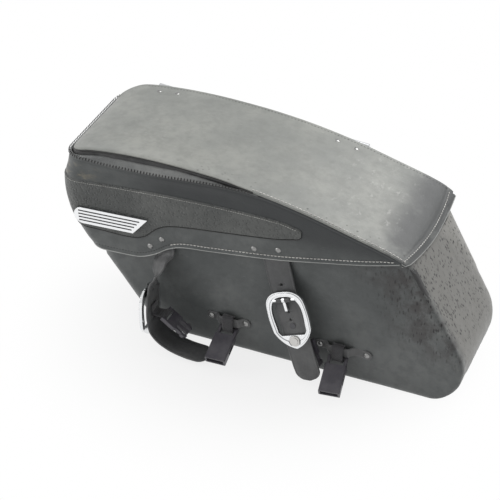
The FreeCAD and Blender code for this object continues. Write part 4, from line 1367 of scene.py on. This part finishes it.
    def stitching(self, look: Finishes) -> None:
        """Every row of stitches on the lid."""
        plain, cross = Stitches(5.2, 4.1, 0.72, 0.0, 0.40), Stitches(4.6, 5.2, 0.75, 75.0, 0.5)
        top = self.top

        def spot(x: float, y: float) -> Spot:
            """A place on the top panel with its upward direction."""
            return (top.surface(x, y) - Vector((0, 0, 0.3)), top.normal(x))

        edge = [spot(x, top.out_y + self.edge_line_in) for x in range(-62, 155, 3)]
        rear = [spot(top.end(y) - self.rear_line_in, y) for y in range(-97, 88, 3)]
        far = [spot(x, top.in_y - self.far_line_in) for x in range(-300, 154, 3)]
        nose = self.form.spots(0.3, self.form.u_at(self.cross_end_x), lambda x: seam_z(x) + 1.4, 2.0)
        hem_start = self.form.u_at(self.pale_from_x)
        rows = {
            "lid_top_edge_stitches": (plain.sew, edge, look.thread),
            "lid_top_rear_stitches": (plain.sew, rear, look.thread),
            "lid_top_far_stitches": (Stitches(5.0, 3.2, 0.42).sew, far, look.dark_thread_and_shadow),
            "lid_hem_stitches_front": (Stitches(4.6, 2.6, 0.38).sew, self.form.spots(
                0.0, hem_start, lambda x: lid_edge_z(x) + self.hem_line_up, -0.5), look.dark_thread_and_shadow),
            "lid_hem_stitches_rear": (plain.sew, self.form.spots(
                hem_start, self.form.u_at(143.0),
                lambda x: lid_edge_z(x) + self.hem_line_up - 2.2 * ease((x - 118.0) / 25.0), -0.1), look.thread),
            "lid_corner_stitches": (cross.sew, nose, look.dark_thread_and_shadow),
        }
        for name, (sew, spots, paint) in rows.items():
            dress(sew(name, spots), paint, "lid", Slot.LID)

    def build(self, look: Finishes) -> None:
        """Build and dress the whole lid."""
        self.side(look)
        self.overlay(look)
        self.band(look)
        self.panel(look)
        self.rear_hem(look)
        self.stitching(look)


@dataclass(frozen=True)
class Seat:
    """Where a buckle sits on its strap: centre on the strap's middle, and its three directions."""

    centre: Vector
    across: Vector
    down: Vector
    out: Vector
    gap: float = 3.1

    def at(self, across: float, down: float, out: float) -> Vector:
        """A place measured from the strap's outer face under the buckle."""
        return self.centre + self.across * across + self.down * down + self.out * (out + self.gap)


@dataclass
class Strap:
    """One strap with its keepers and plug webbing, from under the lid down to its tail."""

    name: str
    path: list[tuple[Vector, Vector]]
    seat: Seat
    plug: tuple[Vector, Vector]
    width: float = 37.8
    thick: float = 3.0
    root: float = 36.0
    holes: tuple[float, ...] = (-48.0, -35.0, -9.0, 3.0)
    hole_radius: float = 2.0
    post_radius: float = 2.3
    post_down: float = 12.0
    steps: int = 9

    def upward(self) -> Vector:
        """The way from the bend up to the strap's root, inside the lid."""
        up = OUTBOARD.cross(self.path[0][1]).normalized()
        return up if up.z > 0 else -up

    def stations(self) -> tuple[list[Vector], list[Vector]]:
        """The strap's smooth middle line and its width direction at every point of it."""
        (axis, side), up, steps = self.path[0], self.upward(), self.steps
        knots = [(axis + up * self.root, side), (axis + up * self.root * 0.5, side)] + self.path
        line = through([p for p, _ in knots], steps)
        across = []
        for i in range(len(line)):
            leg = min(i // steps, len(knots) - 2)
            t = ease((i - leg * steps) / steps)
            across.append(knots[leg][1].normalized().lerp(knots[leg + 1][1].normalized(), t).normalized())
        return line, across

    def leather(self, look: Finishes) -> None:
        """The strap itself, punched, creased and bending where it leaves the lid."""
        line, across = self.stations()
        strip = Strip(self.width, self.thick, 0.45, 15.0)
        piece = strip.lay(f"strap_{self.name}_leather", line, across, round_ends=(False, True))
        emboss(piece, lambda p: 0.22 * swell(p, 26.0, 3.0) + 0.14 * swell(p, 9.0, 8.0))
        drilled = [(down, self.hole_radius) for down in self.holes] + [(self.post_down, self.post_radius)]
        seat = self.seat
        bore(piece, [(seat.centre + seat.down * down, seat.out, radius) for down, radius in drilled], 2 * self.thick)
        dress(piece, look.strap, None, Slot.STRAP, f"strap_{self.name}", f"strap_{self.name}_root")
        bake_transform(piece)

    def keepers(self, look: Finishes) -> None:
        """Two leather bands that hold the buckle's bar to the strap."""
        loop = ((-35.4, -1.0), (-32.2, -0.98), (-31.0, 0.2), (-30.95, 2.6), (-30.1, 4.7), (-28.0, 5.55), (-25.9, 4.7),
                (-25.05, 2.6), (-25.4, 0.6), (-26.6, -0.8), (-29.4, -1.1))
        shape, strip = Shape(), Strip(8.0, 1.1)
        for middle in (-7.0, 7.0):
            line = through([self.seat.at(middle, down, out) for down, out in loop], 5)
            rings = []
            for i, centre in enumerate(line):
                out = heading(line, i).cross(self.seat.across).normalized()
                rings.append([centre + self.seat.across * a + out * b for a, b in strip.outline()])
            shape.tube(rings)
        piece = shape.solid(f"keeper_{self.name}_leather")
        dress(piece, look.strap, f"strap_{self.name}", Slot.STRAP, f"keeper_{self.name}")

    def tape(self, look: Finishes) -> None:
        """The webbing that runs from the strap's inner face round the plug's bar and back."""
        at, across = self.plug
        down, out = self.seat.down, self.seat.out
        reach = (self.seat.centre - at).dot(out) - 2.2
        route = ((reach - 0.75, -16.0), (reach - 0.75, -9.0), (reach - 0.9, -3.6), (reach - 2.6, -1.5), (4.4, -1.6),
                 (1.7, -2.6), (0.0, -2.95), (-2.1, -2.1), (-2.95, 0.0), (-2.1, 2.1), (0.0, 2.95), (1.8, 2.4),
                 (4.6, 0.6), (reach - 3.0, 0.2))
        line = through([at + out * o + down * d for o, d in route], 5)
        piece = Strip(18.0, 1.3).lay(f"plug_{self.name}_tape", line, [across] * len(line))
        dress(piece, look.webbing, f"strap_{self.name}", Slot.WEBBING, f"plug_{self.name}_webbing")

    def build(self, look: Finishes) -> None:
        """Build and dress the strap's soft pieces."""
        self.leather(look)
        self.keepers(look)
        self.tape(look)


@dataclass
class Anchor:
    """A riveted leather loop on the outboard side, with the webbing that holds a release socket."""

    name: str
    rivets: tuple[float, float]
    middle: float
    flat_y: float = -91.25
    bridge_y: float = -97.3
    height: float = 54.0
    past: float = 7.4

    def leather(self, look: Finishes) -> None:
        """The leather loop: flat under both rivets, bridged over the webbing."""
        left, right = self.rivets
        rise = [(18.5, self.flat_y - 0.1), (16.0, -94.0), (13.5, -96.9), (10.0, self.bridge_y)]
        marks = [(left - self.past, self.flat_y), (left - 3.0, self.flat_y)]
        marks += [(self.middle - d, y) for d, y in rise] + [(self.middle, self.bridge_y - 0.25)]
        marks += [(self.middle + d, y) for d, y in reversed(rise)]
        marks += [(right + 3.0, self.flat_y), (right + self.past, self.flat_y)]
        line = through([Vector((x, y, self.height)) for x, y in marks], 6)
        strip = Strip(14.0, 2.4, 0.0, 7.0)
        across = [Vector((0, 0, 1))] * len(line)
        piece = strip.lay(f"anchor_{self.name}_leather", line, across, round_ends=(True, True))
        emboss(piece, lambda p: 0.25 * swell(p, 12.0, 4.0) - 0.3 * near(abs(p.z - self.height) - 4.6, 0.5))
        dress(piece, look.strap, "bag", Slot.BODY, f"anchor_{self.name}")

    def tape(self, look: Finishes) -> None:
        """The closed webbing loop between the leather and the socket's bar."""
        ring, low, high = 4.15, 41.0, 60.5
        turn = [math.radians(a) for a in range(0, 181, 30)]
        top = [(self.bridge_y + ring * math.cos(a), high + ring * math.sin(a)) for a in turn]
        bottom = [(self.bridge_y - ring * math.cos(a), low - ring * math.sin(a)) for a in turn]
        line = through([Vector((self.middle, y, z)) for y, z in top + bottom], 4, closed=True)
        piece = Strip(16.5, 1.3).lay(f"socket_{self.name}_tape", line, [Vector((1, 0, 0))] * len(line), closed=True)
        dress(piece, look.webbing, "bag", Slot.WEBBING, f"socket_{self.name}_webbing")

    def build(self, look: Finishes) -> None:
        """Build and dress the loop and its webbing."""
        self.leather(look)
        self.tape(look)


def turned(degrees: float, start: Vector, end: Vector) -> Vector:
    """A direction this far on the way from one direction to another."""
    angle = math.radians(degrees)
    return start.normalized() * math.cos(angle) + end * math.sin(angle)


def straps() -> list[Strap]:
    """The two straps at their places."""
    front_axis, rear_axis = Vector((0.812, 0, 0.584)), Vector((0.982, 0, 0.189))
    lean = Vector((0.93, 0, 0.368))
    down = (Vector((18.5, -117.0, 60.0)) - Vector((-13.0, -101.5, 138.0))).normalized()
    out = down.cross(lean.normalized()).normalized()
    front = [((-194.5, -93.4, 143.2), front_axis), ((-197, -102, 131), turned(24, front_axis, OUTBOARD)),
             ((-199, -107.5, 121), turned(50, Vector((0.95, 0, 0.3)), OUTBOARD)),
             ((-199, -114, 111), turned(74, Vector((1, 0, 0.1)), OUTBOARD)),
             ((-199, -120, 102), turned(88, Vector((1, 0, 0)), OUTBOARD)),
             ((-199, -122.5, 92), OUTBOARD), ((-199, -123.5, 47), OUTBOARD), ((-196.5, -124, 37), OUTBOARD),
             ((-188, -124.5, 26), OUTBOARD), ((-171, -125, 16), OUTBOARD), ((-146, -126, 10.5), OUTBOARD),
             ((-112, -126, 9), OUTBOARD)]
    rear = [((-27.0, -93.4, 177.6), rear_axis), ((-20, -96.8, 156), Vector((0.96, 0, 0.28))),
            ((-13, -101.5, 138), lean), ((18.5, -117, 60), lean), ((29, -121, 33), lean), ((37.5, -122.5, 12), lean)]
    return [
        Strap("front", [(Vector(p), w) for p, w in front],
              Seat(Vector((-199, -123.2, 66)), Vector((0, 1, 0)), Vector((0, 0, -1)), Vector((-1, 0, 0))),
              (Vector((-178, -124.5, 62)), OUTBOARD)),
        Strap("rear", [(Vector(p), w) for p, w in rear],
              Seat(Vector((1.6, -109.2, 101)), down.cross(out), down, out),
              (Vector((22, -105.5, 62)), lean.normalized())),
    ]


class Fittings:
    """The moulded and cast pieces that keep their constructed shape."""

    def build(self, frame: dict, look: Finishes) -> None:
        """Give every constructed piece of the loaded frame the finish of its material slot."""
        # The buckle posts get the near-black finish, painted shade of open holes.
        special = {"badge": look.badge, "post_front": look.hole_shade_post, "post_rear": look.hole_shade_post}
        for part in frame["record"]["subparts"]:
            node = frame["nodes"].get(part["node"])
            paint = special.get(part["node"], look.by_slot.get(part["material_slot"]))
            if node is None or paint is None:
                continue
            node.data.materials.clear()
            node.data.materials.append(paint.material)
        LOG.info("%d finishes for constructed pieces", len(look.by_slot))


@dataclass(frozen=True)
class Studio:
    """Camera, floor, backdrop and lamps."""

    azimuth: float = math.radians(23.0)
    elevation: float = math.radians(36.0)
    distance: float = 2.4
    target: Vector = Vector((-0.105, 0.0, 0.110))
    lens: float = 122.0
    floor_reach: float = 4000.0
    floor_below: float = 0.3
    soft_light: float = 0.62
    box_size: float = 1.4

    def camera(self) -> None:
        """Place the camera."""
        data = bpy.data.cameras.new("camera")
        data.lens, data.sensor_width = self.lens, 36.0
        camera = bpy.data.objects.new("camera", data)
        bpy.context.scene.collection.objects.link(camera)
        a, e = self.azimuth, self.elevation
        back = Vector((math.sin(a) * math.cos(e), -math.cos(a) * math.cos(e), math.sin(e)))
        camera.location = self.target + back * self.distance
        camera.rotation_euler = (-back).to_track_quat("-Z", "Y").to_euler()
        bpy.context.scene.camera = camera

    def seen(self, tree: bpy.types.NodeTree) -> bpy.types.NodeSocket:
        """A factor that is 1 for what the camera, metal and glass see directly."""
        rays = tree.nodes.new("ShaderNodeLightPath")
        first = rays.outputs["Is Camera Ray"]
        for name in ("Is Glossy Ray", "Is Transmission Ray"):
            both = tree.nodes.new("ShaderNodeMath")
            both.operation = "MAXIMUM"
            tree.links.new(first, both.inputs[0])
            tree.links.new(rays.outputs[name], both.inputs[1])
            first = both.outputs[0]
        return first

    def floor(self) -> None:
        """A pale floor that keeps the shadow and fades to white away from the bag."""
        reach, below = self.floor_reach, self.floor_below
        signs = ((-1, -1), (1, -1), (1, 1), (-1, 1))
        piece = Shape([Vector((x * reach, y * reach, -below)) for x, y in signs], [(0, 1, 2, 3)]).mesh("floor")
        made = Paint("pale_floor")
        tree = made.tree
        made.set(Base_Color=(0.86, 0.86, 0.86), Roughness=0.9)
        glow = tree.nodes.new("ShaderNodeEmission")
        glow.inputs["Color"].default_value = (1, 1, 1, 1)
        glow.inputs["Strength"].default_value = 1.0
        centre = made.node("ShaderNodeVectorMath", {"operation": "DISTANCE"},
                           {0: made.place, 1: (-0.08, -0.02, 0.0)}, "Value")
        amount = centre.ramp(0.12, 0.38) * 0.20 + 0.80
        share = amount * Sock(made, self.seen(tree))
        mix = tree.nodes.new("ShaderNodeMixShader")
        tree.links.new(share.socket, mix.inputs[0])
        tree.links.new(made.shader.outputs[0], mix.inputs[1])
        tree.links.new(glow.outputs[0], mix.inputs[2])
        tree.links.new(mix.outputs[0], made.surface)
        piece.data.materials.append(made.material)

    def backdrop(self) -> None:
        """Soft even light from the world, which shows white."""
        world = bpy.data.worlds.new("studio")
        bpy.context.scene.world = world
        world.use_nodes = True
        tree = world.node_tree
        tree.nodes.clear()
        soft, white = tree.nodes.new("ShaderNodeBackground"), tree.nodes.new("ShaderNodeBackground")
        soft.inputs["Strength"].default_value = self.soft_light
        white.inputs["Strength"].default_value = 1.0
        mix, output = tree.nodes.new("ShaderNodeMixShader"), tree.nodes.new("ShaderNodeOutputWorld")
        tree.links.new(self.seen(tree), mix.inputs[0])
        tree.links.new(soft.outputs[0], mix.inputs[1])
        tree.links.new(white.outputs[0], mix.inputs[2])
        tree.links.new(mix.outputs[0], output.inputs["Surface"])

    def lamp(self, name: str, place: tuple[float, float, float], power: float) -> None:
        """One soft box aimed at the bag."""
        data = bpy.data.lights.new(name, "AREA")
        data.size, data.energy = self.box_size, power
        lamp = bpy.data.objects.new(name, data)
        bpy.context.scene.collection.objects.link(lamp)
        lamp.location = Vector(place)
        lamp.rotation_euler = (self.target - Vector(place)).to_track_quat("-Z", "Y").to_euler()

    def build(self) -> None:
        """Set up the studio."""
        self.camera()
        self.floor()
        self.backdrop()
        self.lamp("key", (0.5, 0.9, 1.7), 26.0)
        self.lamp("fill", (-1.9, -0.9, 1.0), 15.0)


def main() -> None:
    """Build the looks in order."""
    logging.basicConfig(level=logging.INFO, format="%(message)s")
    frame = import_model()
    scene = bpy.context.scene
    scene.view_settings.view_transform = "Standard"
    look = Finishes()
    Fittings().build(frame, look)
    Tub().build(look)
    LidShell().build(look)
    for strap in straps():
        strap.build(look)
    Anchor("front", (-124.0, -72.5), -96.0).build(look)
    Anchor("rear", (38.0, 106.0), 67.0).build(look)
    Studio().build()


if __name__ == "__main__":
    main()
